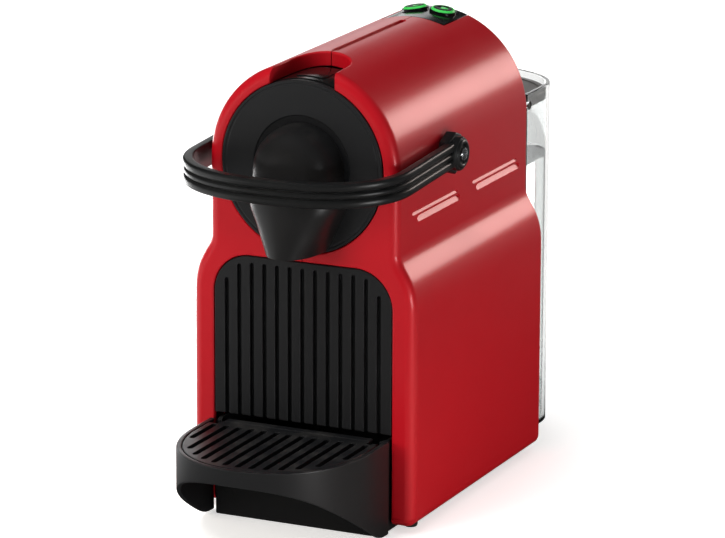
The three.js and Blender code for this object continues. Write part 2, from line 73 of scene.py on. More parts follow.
def rawPiece(name, points, faces=()):
    mesh = bpy.data.meshes.new(name)
    mesh.from_pydata([at(*p) for p in points], [], faces)
    return linked(name, mesh)


def makePiece(name, points, faces):
    return tidyMesh(rawPiece(name, points, faces))


def loft(name, rings, loop=False, caps=True):  # rings of equally many points, joined in order
    count = len(rings[0])
    points = [p for ring in rings for p in ring]
    faces = []
    for r in range(len(rings) if loop else len(rings) - 1):
        a, b = r * count, (r + 1) % len(rings) * count
        for i in range(count):
            j = (i + 1) % count
            faces.append((a + i, a + j, b + j, b + i))
    if caps and not loop:
        faces.append(tuple(reversed(range(count))))
        faces.append(tuple((len(rings) - 1) * count + i for i in range(count)))
    return makePiece(name, points, faces)


def settle(piece):  # applies the modifiers
    graph = bpy.context.evaluated_depsgraph_get()
    made = bpy.data.meshes.new_from_object(piece.evaluated_get(graph))
    old = piece.data
    piece.modifiers.clear()
    piece.data = made
    bpy.data.meshes.remove(old)
    return piece


def carve(piece, *tools, how="DIFFERENCE"):
    for tool in tools:
        step = piece.modifiers.new("carve", "BOOLEAN")
        step.operation = how
        step.solver = "EXACT"
        step.object = tool
        settle(piece)
        bpy.data.objects.remove(tool)
    return tidyMesh(piece)


def weld(piece, *others):
    return carve(piece, *others, how="UNION")


def soften(piece, width, segments=2, angle=40):
    edge = piece.modifiers.new("soften", "BEVEL")
    edge.width = width * mm
    edge.segments = segments
    edge.limit_method = "ANGLE"
    edge.angle_limit = math.radians(angle)
    edge.use_clamp_overlap = True
    return tidyMesh(settle(piece))


def together(name, *pieces):  # several closed bodies kept as one piece
    bm = bmesh.new()
    for piece in pieces:
        bm.from_mesh(piece.data)
    mesh = bpy.data.meshes.new(name)
    bm.to_mesh(mesh)
    bm.free()
    for piece in pieces:
        bpy.data.objects.remove(piece)
    return linked(name, mesh)


def dress(piece, finish, body, stands=(), sharp=32):
    piece.data.materials.clear()
    piece.data.materials.append(bpy.data.materials[finish])
    piece.data.shade_smooth()
    piece.data.set_sharp_from_angle(angle=math.radians(sharp))
    weighted = piece.modifiers.new("even shading", "WEIGHTED_NORMAL")
    weighted.keep_sharp = True
    weighted.weight = 50
    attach(piece, body)
    if stands:
        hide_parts(*stands)
    return piece


# Outlines

def arc(cx, cy, radius, start, end, steps):
    turns = [math.radians(start + (end - start) * i / steps) for i in range(steps + 1)]
    return [(cx + radius * math.cos(t), cy + radius * math.sin(t)) for t in turns]


def circle(cx, cy, radius, steps=48):
    return arc(cx, cy, radius, 0, 360, steps)[:-1]


def ringX(outline, x):
    return [(x, p[0], p[1]) for p in outline]


def ringY(outline, y):
    return [(p[0], y, p[1]) for p in outline]


def ringZ(outline, z):
    return [(p[0], p[1], z) for p in outline]


def quarter(steps):
    return [math.radians(90 * i / steps) for i in range(steps + 1)]


def rounding(start, inward, radius, steps=4):  # (place, inset) from a flat end into the side
    return [(start + inward * radius * (1 - math.cos(t)), radius * (1 - math.sin(t)))
            for t in quarter(steps)]


def roundEnds(low, high, radius, steps=4, support=0.3):
    first = rounding(low, 1, radius, steps)
    last = rounding(high, -1, radius, steps)
    sides = [(low + radius + support, 0), (high - radius - support, 0)]
    return [(low, radius + support)] + first + sides + last[::-1] + [(high, radius + support)]


def prism(name, ring, outline, stations):  # stations of (place, inset) along the axis
    return loft(name, [ring(outline(inset), place) for place, inset in stations])


def block(x, y, z):
    ring = [(x[0], y[0]), (x[1], y[0]), (x[1], y[1]), (x[0], y[1])]
    return loft("block", [ringZ(ring, z[0]), ringZ(ring, z[1])])


def sideBlock(side, x, y, z):
    return block(sorted((side * x[0], side * x[1])), y, z)


def roundBlock(x, y, radius, steps=5):  # an outline with round corners, by inset
    def outline(inset):
        r = max(radius - inset, 0.05)
        x0, x1 = x[0] + inset + r, x[1] - inset - r
        y0, y1 = y[0] + inset + r, y[1] - inset - r
        return (arc(x0, y0, r, 180, 270, steps) + arc(x1, y0, r, 270, 360, steps)
                + arc(x1, y1, r, 0, 90, steps) + arc(x0, y1, r, 90, 180, steps))
    return outline


def lathe(name, profile, place, axis, steps=72):  # profile of (radius, height along the axis)
    axis = Vector(axis).normalized()
    side = axis.orthogonal().normalized()
    up = axis.cross(side)
    rings = []
    for i in range(steps):
        turn = 2 * math.pi * i / steps
        out = side * math.cos(turn) + up * math.sin(turn)
        rings.append([tuple(Vector(place) + out * r + axis * h) for r, h in profile])
    return loft(name, rings, loop=True)


def peg(name, radius, low, high, place, axis, steps=48):  # a plain round bar, or a drill
    return lathe(name, [(0, low), (radius, low), (radius, high), (0, high)], place, axis, steps)


def bowed(half, reach, power, middle=0, steps=64):  # from right to left round a bulging front
    turns = [math.pi * i / steps for i in range(steps + 1)]
    return [(math.copysign(half * abs(math.cos(t)) ** (2 / power), math.cos(t)),
             middle - reach * abs(math.sin(t)) ** (2 / power)) for t in turns]


def roundProfile(points, radius, steps=3):  # rounds the corners of a closed profile, given one by one
    made = []
    count = len(points)
    for i, p in enumerate(points):
        r = radius[i] if isinstance(radius, (list, tuple)) else radius
        here = Vector(p)
        before, after = Vector(points[i - 1]) - here, Vector(points[(i + 1) % count]) - here
        if r <= 0 or before.length < 1e-6 or after.length < 1e-6:
            made.append(tuple(here))
            continue
        half = before.angle(after) / 2
        reach = min(r / math.tan(half), before.length * 0.49, after.length * 0.49)
        a, b = here + before.normalized() * reach, here + after.normalized() * reach
        for k in range(steps + 1):
            t = k / steps
            made.append(tuple(a * (1 - t) ** 2 + here * 2 * t * (1 - t) + b * t * t))
    return made


# Finishes

def paint(code):  # a colour written as six hex digits
    parts = [int(code[i:i + 2], 16) / 255 for i in (0, 2, 4)]
    return tuple(((c + 0.055) / 1.055) ** 2.4 if c > 0.04045 else c / 12.92 for c in parts) + (1,)


def addNode(tree, kind, inputs=None, **settings):
    node = tree.nodes.new(kind)
    for key, value in settings.items():
        setattr(node, key, value)
    for key, value in (inputs or {}).items():
        if isinstance(value, bpy.types.NodeSocket):
            tree.links.new(value, node.inputs[key])
        else:
            node.inputs[key].default_value = value
    return node


def maths(tree, operation, *values, **settings):
    node = addNode(tree, "ShaderNodeMath", dict(enumerate(values)), operation=operation, **settings)
    return node.outputs[0]


def spread(tree, value, *ends):  # from the first two ends to the last two
    return addNode(tree, "ShaderNodeMapRange", {0: value, **dict(enumerate(ends, 1))}).outputs[0]


def cloudy(tree, place, scale, detail=2, **inputs):
    return addNode(tree, "ShaderNodeTexNoise", {"Vector": place, "Scale": scale, "Detail": detail,
                                                **inputs}).outputs["Fac"]


def blend(tree, share, one, other):  # of two colours
    return addNode(tree, "ShaderNodeMix", {0: share, 6: one, 7: other}, data_type="RGBA").outputs[2]


def newGroup(name, inputs, outputs):
    tree = bpy.data.node_groups.new(name, "ShaderNodeTree")
    for label, value in inputs.items():
        kind = {"Vector": "NodeSocketVector", "Colour": "NodeSocketColor"}.get(label, "NodeSocketFloat")
        socket = tree.interface.new_socket(label, in_out="INPUT", socket_type=kind)
        if value is not None:
            socket.default_value = value
    for label in outputs:
        kind = "NodeSocketColor" if label == "Colour" else "NodeSocketFloat"
        tree.interface.new_socket(label, in_out="OUTPUT", socket_type=kind)
    return tree, tree.nodes.new("NodeGroupInput").outputs, tree.nodes.new("NodeGroupOutput").inputs


def buildEffects():
    # pale edges where the piece is handled
    tree, given, out = newGroup("edgeWear", {"Vector": None, "Reach": 0.0006, "Patchiness": 90}, ["Mask"])
    rounded = addNode(tree, "ShaderNodeBevel", {"Radius": given["Reach"]}, samples=4)
    flat = addNode(tree, "ShaderNodeNewGeometry")
    same = addNode(tree, "ShaderNodeVectorMath", {0: rounded.outputs[0], 1: flat.outputs["Normal"]},
                   operation="DOT_PRODUCT")
    bend = spread(tree, same.outputs["Value"], 0.995, 0.86, 0, 1)
    patch = cloudy(tree, given["Vector"], given["Patchiness"], 4, Roughness=0.65)
    picked = spread(tree, patch, 0.42, 0.66, 0.15, 1)
    tree.links.new(maths(tree, "MULTIPLY", bend, picked), out["Mask"])

    # the fine texture of a mould, with a slower swell under it
    tree, given, out = newGroup("mouldGrain", {"Vector": None, "Scale": 1400, "Swell": 30,
                                               "Swell Share": 0.3}, ["Height", "Fleck"])
    fine = cloudy(tree, given["Vector"], given["Scale"], 3, Roughness=0.6)
    pit = addNode(tree, "ShaderNodeTexVoronoi", {"Vector": given["Vector"], "Scale": given["Scale"]},
                  feature="SMOOTH_F1")
    slow = cloudy(tree, given["Vector"], given["Swell"])
    grain = maths(tree, "MULTIPLY_ADD", fine, pit.outputs["Distance"], 0.25)
    height = addNode(tree, "ShaderNodeMix", {0: given["Swell Share"], 2: grain, 3: slow}, data_type="FLOAT")
    tree.links.new(height.outputs[0], out["Height"])
    tree.links.new(fine, out["Fleck"])

    # slow changes of shade over a moulding
    tree, given, out = newGroup("shadeDrift", {
        "Colour": (0.5, 0.5, 0.5, 1), "Vector": None, "Scale": 14, "Amount": 0.08, "Fleck": 0.5,
        "Fleck Amount": 0.05}, ["Colour"])
    slow = cloudy(tree, given["Vector"], given["Scale"], 3)
    wide = maths(tree, "MULTIPLY", maths(tree, "SUBTRACT", slow, 0.5), given["Amount"])
    small = maths(tree, "MULTIPLY", maths(tree, "SUBTRACT", given["Fleck"], 0.5), given["Fleck Amount"])
    value = maths(tree, "ADD", maths(tree, "ADD", wide, small), 1.0)
    shaded = addNode(tree, "ShaderNodeHueSaturation", {"Color": given["Colour"], "Value": value})
    tree.links.new(shaded.outputs[0], out["Colour"])

    # where hands, water and cloths leave the surface duller
    tree, given, out = newGroup("smudges", {"Vector": None, "Scale": 22, "Streaks": 160}, ["Mask"])
    cloud = cloudy(tree, given["Vector"], given["Scale"], 5, Distortion=0.6)
    stretched = addNode(tree, "ShaderNodeVectorMath", {0: given["Vector"], 1: (1, 0.12, 0.5)},
                        operation="MULTIPLY")
    streak = cloudy(tree, stretched.outputs[0], given["Streaks"])
    soft = spread(tree, cloud, 0.4, 0.75, 0, 1)
    tree.links.new(maths(tree, "MULTIPLY", soft, streak), out["Mask"])

    # pale dust that settles on faces turned up
    tree, given, out = newGroup("settledDust", {"Vector": None, "Scale": 60}, ["Mask"])
    facing = addNode(tree, "ShaderNodeNewGeometry")
    parts = addNode(tree, "ShaderNodeSeparateXYZ", {0: facing.outputs["Normal"]})
    upward = spread(tree, parts.outputs["Z"], 0.55, 1, 0, 1)
    cloud = cloudy(tree, given["Vector"], given["Scale"], 6, Roughness=0.7)
    tree.links.new(maths(tree, "MULTIPLY", upward, spread(tree, cloud, 0.45, 0.8, 0, 1)), out["Mask"])


# rough is the roughness and dull is what smudges add to it, grain and swell are how fine the two
# textures are, depth is the bump in mm, drift and fleck are changes of shade, wear and dust are how
# much of them shows, and more holds what plain plastic does without
dustColour = "b9b4aa"
lookLabels = ("colour", "rough", "dull", "grain", "depth", "swell", "drift", "fleck", "worn", "wear",
              "dust", "more")
finishes = {
    "redLacquer": ("ae0b1a", 0.42, 0.08, 900, 0.01, 26, 0.06, 0.04, "d8323a", 0.35, 0.02,
                   dict(metal=0.24, shine=0.3, coat=0.4, coatRough=0.19)),
    "satinBlack": ("17181a", 0.42, 0.1, 2200, 0.05, 40, 0.2, 0.25, "55585c", 0.4, 0.06),
    "glossBlack": ("090a0b", 0.12, 0.12, 700, 0.01, 24, 0.15, 0.05, "3a3c40", 0.3, 0.02, dict(shine=0.22)),
    "hoodBlack": ("161617", 0.36, 0.1, 2600, 0.035, 30, 0.15, 0.2, "47494c", 0.35, 0.03),
    "leverBlack": ("131415", 0.33, 0.12, 2400, 0.04, 40, 0.15, 0.2, "5c6063", 0.5, 0.04),
    "greyMoulding": ("5d5f63", 0.5, 0.1, 1800, 0.06, 40, 0.12, 0.15, "85888c", 0.4, 0.1),
    "lidGrey": ("4a4745", 0.42, 0.12, 2000, 0.05, 40, 0.12, 0.2, "77746f", 0.3, 0.1),
    "whiteMoulding": ("d6d3c9", 0.45, 0.1, 1800, 0.05, 40, 0.05, 0.06, "efece4", 0.3, 0.04),
    "footRubber": ("1b1b1b", 0.8, 0.1, 1600, 0.12, 80, 0.25, 0.3, "3b3b3a", 0.5, 0.1),
    "paleSilicone": ("d9d3c4", 0.5, 0.12, 900, 0.04, 60, 0.08, 0.08, "ece7da", 0.2, 0.03, dict(soft=0.15)),
    "brightChrome": ("e2e4e6", 0.2, 0.1, 400, 0.01, 60, 0.05, 0.02, "f0f2f3", 0.2, 0.02, dict(metal=1)),
    "turnedSteel": ("a7a9ab", 0.26, 0.14, 1500, 0.04, 90, 0.1, 0.12, "cfd1d3", 0.4, 0.03, dict(metal=1)),
    "castAluminium": ("aeb0b2", 0.44, 0.12, 1100, 0.16, 70, 0.12, 0.25, "d4d6d8", 0.5, 0.05, dict(metal=1)),
    "springWire": ("9b9da0", 0.22, 0.12, 2600, 0.03, 150, 0.12, 0.1, "c6c8ca", 0.3, 0.02, dict(metal=1)),
    "boardGreen": ("1b5a36", 0.35, 0.1, 1300, 0.05, 120, 0.25, 0.3, "8f7a3c", 0.5, 0.03),
    "coilBlue": ("26366b", 0.48, 0.12, 1500, 0.06, 60, 0.15, 0.2, "4a5a8c", 0.4, 0.05),
}


def newMaterial(name):
    finish = bpy.data.materials.new(name)
    finish.use_nodes = True
    tree = finish.node_tree
    place = addNode(tree, "ShaderNodeTexCoord").outputs["Object"]
    return finish, tree, tree.nodes["Principled BSDF"].inputs, place


def useGroup(tree, place, kind, **inputs):
    node = addNode(tree, "ShaderNodeGroup", node_tree=bpy.data.node_groups[kind])
    inputs = {key.replace("_", " "): value for key, value in inputs.items()}
    for key, value in {"Vector": place, **inputs}.items():
        if isinstance(value, bpy.types.NodeSocket):
            tree.links.new(value, node.inputs[key])
        else:
            node.inputs[key].default_value = value
    return node.outputs


def bumpy(tree, height, depth, strength=1.0):
    return addNode(tree, "ShaderNodeBump", {"Strength": strength, "Distance": depth * mm,
                                            "Height": height}).outputs[0]


def setPlain(shader, values):
    for key, value in values.items():
        shader[key].default_value = value


def makeFinish(name, look):
    tree, shader, place = newMaterial(name)[1:]
    more = look.get("more", {})
    grain = useGroup(tree, place, "mouldGrain", Scale=look["grain"], Swell=look["swell"])
    shade = useGroup(tree, place, "shadeDrift", Colour=paint(look["colour"]), Amount=look["drift"],
                     Fleck=grain["Fleck"], Fleck_Amount=look["fleck"])
    wear = useGroup(tree, place, "edgeWear", Reach=0.0005)
    smudge = useGroup(tree, place, "smudges")
    dust = useGroup(tree, place, "settledDust")
    worn = blend(tree, maths(tree, "MULTIPLY", wear["Mask"], look["wear"]), shade["Colour"],
                 paint(look["worn"]))
    dusty = blend(tree, maths(tree, "MULTIPLY", dust["Mask"], look["dust"]), worn, paint(dustColour))
    dull = maths(tree, "MULTIPLY_ADD", smudge["Mask"], look["dull"], look["rough"])
    dustDull = maths(tree, "MULTIPLY", dust["Mask"], look["dust"] * 2)
    rough = maths(tree, "ADD", dull, dustDull, use_clamp=True)
    tree.links.new(dusty, shader["Base Color"])
    tree.links.new(rough, shader["Roughness"])
    tree.links.new(bumpy(tree, grain["Height"], look["depth"]), shader["Normal"])
    setPlain(shader, {
        "Metallic": more.get("metal", 0), "Specular IOR Level": more.get("shine", 0.5),
        "Coat Weight": more.get("coat", 0), "Coat Roughness": more.get("coatRough", 0.03),
        "Subsurface Weight": more.get("soft", 0), "Subsurface Radius": (0.004, 0.003, 0.002)})


def makeClear(name, tint, rough, ior, haze):  # clear plastic or water, with faint flow lines
    tree, shader, place = newMaterial(name)[1:]
    grain = useGroup(tree, place, "mouldGrain", Scale=60, Swell=12, Swell_Share=0.8)
    smudge = useGroup(tree, place, "smudges")
    tree.links.new(maths(tree, "MULTIPLY_ADD", smudge["Mask"], haze, rough), shader["Roughness"])
    tree.links.new(bumpy(tree, grain["Height"], 0.03), shader["Normal"])
    setPlain(shader, {"Base Color": paint(tint), "Transmission Weight": 1, "IOR": ior})


def makeGlow(name, colour, strength):  # a lit ring, brighter where its lamp sits
    tree, shader, place = newMaterial(name)[1:]
    cloud = cloudy(tree, place, 180)
    lit = addNode(tree, "ShaderNodeHueSaturation", {"Color": paint(colour),
                                                    "Value": spread(tree, cloud, 0.3, 0.7, 0.75, 1.15)})
    tree.links.new(lit.outputs[0], shader["Base Color"])
    tree.links.new(lit.outputs[0], shader["Emission Color"])
    tree.links.new(bumpy(tree, cloud, 0.02, 0.6), shader["Normal"])
    setPlain(shader, {"Emission Strength": strength, "Roughness": 0.25})


buildEffects()
for finishName, finishLook in finishes.items():
    makeFinish(finishName, dict(zip(lookLabels, finishLook)))
makeClear("clearTank", "dee0e0", 0.03, 1.49, 0.05)
makeClear("tankWater", "fafdfd", 0.0, 1.333, 0.0)
makeGlow("greenGlow", "35a548", 0.5)
print("finishes made:", len(bpy.data.materials))


# Casing

casing = {
    "depth": 160, "wall": 2.4, "frontEdge": 5.0, "backEdge": 1.0,
    "drumRadius": 51, "drumHeight": 180, "bodyHalf": 60.2, "bottom": 3.4, "corner": 5,
    "shoulder": ((60.2, 112), (60.2, 130), (51, 133), (51, 141)),
    "seam": 0.5, "discOpening": 43.5, "openingEdge": 0.8,
    "binDoor": {"half": 48.6, "top": 132.4, "corner": 19.9}, "pivot": (56, 181), "pivotHole": 6.8,
    "trayRoom": ((-48.6, 48.6), (-5, 68), (-10, 8)), "openBottom": ((-46, 46), (67, 170), (-10, 8)),
    "notchHalf": 15.9, "notchRound": 17.6, "notchDepth": 33.2, "notchEdge": 1.1, "notchTaper": 0.7,
    "notchLip": (0.9, 4.5),  # how much wider it is at the front, and how far back that reaches
    "skirt": 2.0, "skirtRun": 2.3, "skirtLow": 44.0, "skirtHigh": 49.8,  # the last two as drum radii
    "grooveRun": (36, 119), "grooveHalf": 1.75, "grooveDeep": 1.5,
    # lower and upper edge, depth under the upper edge, and the two lengths along the side
    "ventRows": ((157.0, 158.6, 0.8, ((17.7, 72), (90.7, 146.7))),
                 (152.6, 155.8, 1.5, ((23.8, 75.4), (95.3, 150.3)))),
    "buttonGap": ((-17.6, 17.6), (128.7, 175)),
    "above": 250,  # well over the top, where cutters start
}


def drumTop(x, radius=None):
    radius = radius or casing["drumRadius"]
    return casing["drumHeight"] + math.sqrt(max(radius ** 2 - x * x, 1))


def casingOutline(inset):
    corner, low = casing["corner"], casing["bottom"]
    right = arc(casing["bodyHalf"] - corner, low + corner, max(corner - inset, 0.3), -90, 0, 8)
    p0, p1, p2, p3 = [Vector(p) for p in casing["shoulder"]]
    for i in range(25):
        t = i / 24
        s = 1 - t
        here = p0 * s ** 3 + p1 * 3 * s * s * t + p2 * 3 * s * t * t + p3 * t ** 3
        along = ((p1 - p0) * s * s + (p2 - p1) * 2 * s * t + (p3 - p2) * t * t).normalized()
        right.append((here.x - along.y * inset, here.y + along.x * inset))
    right += arc(0, casing["drumHeight"], casing["drumRadius"] - inset, 0, 90, 56)
    return right + [(-x, z) for x, z in right[-2::-1]]


def arched(d, inset, low, steps):  # an outline with a flat foot and round upper corners
    half, radius = d["half"] - inset, d["corner"] - inset
    x, z = d["half"] - d["corner"], d["top"] - d["corner"]
    corners = arc(x, z, radius, 0, 90, steps) + arc(-x, z, radius, 90, 180, steps)
    return [(-half, low), (half, low)] + corners


def flared(deep, edge):  # (place, inset) of a cutter that rounds the rim at 0 as it goes in
    rim = [(edge * (1 - math.cos(t)), edge * (math.sin(t) - 1)) for t in quarter(5)]
    rim[0] = (0.02, -edge)
    return [(-3, -edge)] + rim + [(deep, 0)]


def topCutter(outline, profile):  # a cutter whose rim follows the drum, from above
    rings = [[(x, y, casing["above"]) for x, y in outline(profile[0][0])]]
    for offset, deep in profile:
        rings.append([(x, y, drumTop(x) - deep) for x, y in outline(offset)])
    if profile[-1][1] > casing["wall"]:  # right through: the last ring goes down flat
        low = min(z for x, y, z in rings[-1]) - 8
        rings[-1] = [(x, y, low) for x, y, z in rings[-1]]
    return loft("cutter", rings)


def flaredDown(edge, deep):  # the same by (offset, depth), for a cut from above
    rim = [(edge * (1 - math.sin(t)), edge * (1 - math.cos(t))) for t in quarter(5)]
    rim[0] = (edge, 0.02)
    return rim + [(0, deep)]


def notchOutline(offset, start=-6):  # a U in plan, open at the front and a little wider there
    half, bend = casing["notchHalf"], casing["notchRound"]
    deep = casing["notchDepth"] - bend
    lip, lipRun = casing["notchLip"]
    right = []
    for i in range(9):
        y = start + (bend - start) * i / 9
        flare = lip * max(0, (lipRun - y) / lipRun) ** 2 if y > -1 else lip
        right.append((half + casing["notchTaper"] * (1 - max(y, 0) / bend) + flare + offset, y))
    for t in quarter(28):
        right.append((half * math.cos(t) ** 0.9 + offset * math.cos(t),
                      bend + deep * math.sin(t) ** 0.95 + offset * math.sin(t)))
    return right + [(-x, y) for x, y in right[-2::-1]]


def skirtPiece():  # the wall that hangs from the notch's rim
    outer = notchOutline(casing["skirt"], casing["skirtRun"])
    inner = notchOutline(-0.8, casing["skirtRun"])
    rings = []
    for (ox, oy), (ix, iy) in zip(outer, inner):
        low, lowOut = drumTop(ix, casing["skirtLow"]), drumTop(ox, casing["skirtLow"])
        highOut = drumTop(ox, casing["skirtHigh"])
        high = min(highOut, drumTop(ix, casing["skirtHigh"]))
        rings.append([(ox, oy, lowOut + 0.5), (ox * 0.97 + ix * 0.03, oy * 0.8 + iy * 0.2, lowOut),
                      (ix, iy, low), (ix, iy, high), (ox, oy, highOut)])
    return loft("skirt", rings)


def grooveOutline(offset):
    (y0, y1), half = casing["grooveRun"], casing["grooveHalf"]
    r = max(half + offset, 0.1)
    return arc(0, y0 + half, r, 180, 360, 10) + arc(0, y1 - half, r, 0, 180, 10)


def ventTools():  # slanting scoops: open at the lower edge, deepest under the upper one
    tools = []
    for low, high, deep, runs in casing["ventRows"]:
        middle, tall = (low + high) / 2, (high - low) / 2
        section = [(0.6, -1.35), (0, -1), (-deep * 0.42, -0.35), (-deep * 0.8, 0.3), (-deep, 0.72),
                   (-deep * 0.97, 0.9), (-deep * 0.8, 1), (0, 1.03), (0.6, 1.1)]
        for y0, y1 in runs:
            for name, side in sides:
                rings = []
                for i in range(33):
                    y = y0 + (y1 - y0) * (1 - math.cos(math.pi * i / 32)) / 2
                    near = min(y - y0, y1 - y) / (tall * 1.3)
                    size = math.sqrt(max(1 - max(1 - near, 0) ** 2, 0.01))
                    rings.append([(side * (casing["drumRadius"] + (out * size if out < 0 else out)), y,
                                   middle + tall * up * size) for out, up in section])
                tools.append(loft("vent", rings))
    return tools


def buildCasing():
    edge, wall, depth, back = (casing[k] for k in ("frontEdge", "wall", "depth", "backEdge"))
    outside = [(0, edge + 0.5)] + rounding(0, 1, edge, 10) + [(edge + 0.6, 0), (depth * 0.5, 0),
                                                              (depth - back - 0.4, 0)]
    outside += rounding(depth, -1, back, 4)[::-1]
    inside = [(depth, wall - 0.2), (depth - 0.3, wall), (depth * 0.5, wall), (wall + 3, wall),
              (wall, wall + 3), (wall, wall + 3.4)]
    shell = prism("casing", ringY, casingOutline, outside + inside)
    weld(shell, skirtPiece())
    openings = (lambda i: circle(0, casing["drumHeight"], casing["discOpening"] - i, 128),
                lambda i: arched(casing["binDoor"], i, -20, 14))
    carve(shell, *[prism("cutter", ringY, outline, flared(wall + 2, casing["openingEdge"]))
                   for outline in openings])
    carve(shell, block(*casing["trayRoom"]), block(*casing["openBottom"]))
    carve(shell, topCutter(notchOutline, flaredDown(casing["notchEdge"], 9)))
    panel = roundBlock(*casing["buttonGap"], 1.2)
    carve(shell, topCutter(lambda offset: panel(-offset), flaredDown(0.4, 9)))
    deep = casing["grooveDeep"]
    groove = [(0.25, 0.02), (0.08, 0.1), (0, 0.3), (0, deep - 0.3), (-0.1, deep - 0.08), (-0.4, deep)]
    carve(shell, topCutter(grooveOutline, groove))
    for name, side in sides:
        start = (side * 40, *casing["pivot"])
        carve(shell, peg("pivotHole", casing["pivotHole"], 0, 30, start, (side, 0, 0), 40))
    carve(shell, *ventTools())
    gap = casing["seam"] / 2
    carve(shell, block((-gap, gap), (-10, 175), (-10, casing["above"] + 10)))
    for name, side in sides:
        half = linked(f"casing_{name}", shell.data.copy())
        bm = bmesh.new()
        bm.from_mesh(half.data)
        bmesh.ops.delete(bm, geom=[v for v in bm.verts if v.co.x * side < 0], context="VERTS")
        bm.to_mesh(half.data)
        bm.free()
        dress(half, "redLacquer", "housing", (f"{name}_shell",), sharp=28)
    bpy.data.objects.remove(shell)


buildCasing()
print("casing made")


# Repeating features by geometry nodes

def newNodes(name, inputs):
    tree = bpy.data.node_groups.new(name, "GeometryNodeTree")
    tree.interface.new_socket("Geometry", in_out="INPUT", socket_type="NodeSocketGeometry")
    for label, value in inputs.items():
        kind = {int: "NodeSocketInt", float: "NodeSocketFloat", tuple: "NodeSocketVector"}.get(type(value))
        kind = kind or {"Finish": "NodeSocketMaterial", "Item": "NodeSocketObject"}[label]
        socket = tree.interface.new_socket(label, in_out="INPUT", socket_type=kind)
        if value is not None:
            socket.default_value = value
    tree.interface.new_socket("Geometry", in_out="OUTPUT", socket_type="NodeSocketGeometry")
    return tree, tree.nodes.new("NodeGroupInput").outputs, tree.nodes.new("NodeGroupOutput").inputs


def closeTree(tree, shape, given, out):  # turned, placed, made real and given its finish
    placed = addNode(tree, "GeometryNodeTransform", {"Geometry": shape, "Translation": given["Place"],
                                                     "Rotation": given["Turn"]})
    real = addNode(tree, "GeometryNodeRealizeInstances", {0: placed.outputs[0]})
    coated = addNode(tree, "GeometryNodeSetMaterial", {"Geometry": real.outputs[0],
                                                       "Material": given["Finish"]})
    tree.links.new(coated.outputs[0], out["Geometry"])


def buildSlotRow():  # parallel slots with round ends whose tips follow a bowed front
    tree, given, out = newNodes("slotRow", {
        "Count": 13, "Pitch": 6.9 * mm, "Half Width": 1.6 * mm, "Half Depth": 5 * mm, "Start": 0.0,
        "Base": 0.0, "Reach": 40 * mm, "Bow Half": 43 * mm, "Bow Power": 2.2,
        "Place": (0.0, 0.0, 0.0), "Turn": (0.0, 0.0, 0.0), "Finish": None})

    def here():
        place = addNode(tree, "GeometryNodeInputPosition").outputs[0]
        return addNode(tree, "ShaderNodeSeparateXYZ", {0: place})

    def store(shape, label, value):
        return addNode(tree, "GeometryNodeStoreNamedAttribute",
                       {"Geometry": shape.outputs[0], "Name": label, "Value": value},
                       data_type="FLOAT", domain="POINT")

    def recall(label):
        return addNode(tree, "GeometryNodeInputNamedAttribute", {"Name": label},
                       data_type="FLOAT").outputs[0]

    gaps = maths(tree, "SUBTRACT", given["Count"], 1.0)
    left = maths(tree, "MULTIPLY", maths(tree, "MULTIPLY", gaps, given["Pitch"]), -0.5)
    start = addNode(tree, "ShaderNodeCombineXYZ", {0: left})
    step = addNode(tree, "ShaderNodeCombineXYZ", {0: given["Pitch"]})
    line = addNode(tree, "GeometryNodeMeshLine", {
        "Count": given["Count"], "Start Location": start.outputs[0], "Offset": step.outputs[0]})
    marked = store(line, "column", here().outputs[0])
    depth = maths(tree, "MULTIPLY", given["Half Depth"], 2.0)
    pin = addNode(tree, "GeometryNodeMeshCylinder", {"Vertices": 28, "Radius": given["Half Width"],
                                                     "Depth": depth})
    turned = addNode(tree, "GeometryNodeTransform", {"Geometry": pin.outputs[0],
                                                     "Rotation": (0, 0, math.pi / 28)})
    farEnd = maths(tree, "GREATER_THAN", here().outputs[1], 0.0)
    halved = store(turned, "farEnd", farEnd)
    row = addNode(tree, "GeometryNodeInstanceOnPoints", {"Points": marked.outputs[0],
                                                         "Instance": halved.outputs[0]})
    real = addNode(tree, "GeometryNodeRealizeInstances", {0: row.outputs[0]})
    share = maths(tree, "ABSOLUTE", maths(tree, "DIVIDE", recall("column"), given["Bow Half"]))
    fall = maths(tree, "SUBTRACT", 1.0, maths(tree, "POWER", share, given["Bow Power"]))
    bow = maths(tree, "POWER", maths(tree, "MAXIMUM", fall, 0.0),
                maths(tree, "DIVIDE", 1.0, given["Bow Power"]))
    tip = maths(tree, "ADD", given["Base"], maths(tree, "MULTIPLY", given["Reach"], bow))
    length = maths(tree, "SUBTRACT", tip, given["Start"])
    move = maths(tree, "ADD", given["Start"], maths(tree, "MULTIPLY", length, recall("farEnd")))
    offset = addNode(tree, "ShaderNodeCombineXYZ", {1: move})
    slots = addNode(tree, "GeometryNodeSetPosition", {"Geometry": real.outputs[0],
                                                      "Offset": offset.outputs[0]})
    closeTree(tree, slots.outputs[0], given, out)


def buildItemRow():  # an item repeated at the points that are handed in
    tree, given, out = newNodes("itemRow", {
        "Item": None, "Size": 1.0, "Place": (0.0, 0.0, 0.0), "Turn": (0.0, 0.0, 0.0),
        "Item Turn": (0.0, 0.0, 0.0), "Finish": None})
    item = addNode(tree, "GeometryNodeObjectInfo", {"Object": given["Item"]})
    row = addNode(tree, "GeometryNodeInstanceOnPoints", {
        "Points": given["Geometry"], "Instance": item.outputs["Geometry"],
        "Rotation": given["Item Turn"], "Scale": given["Size"]})
    closeTree(tree, row.outputs[0], given, out)


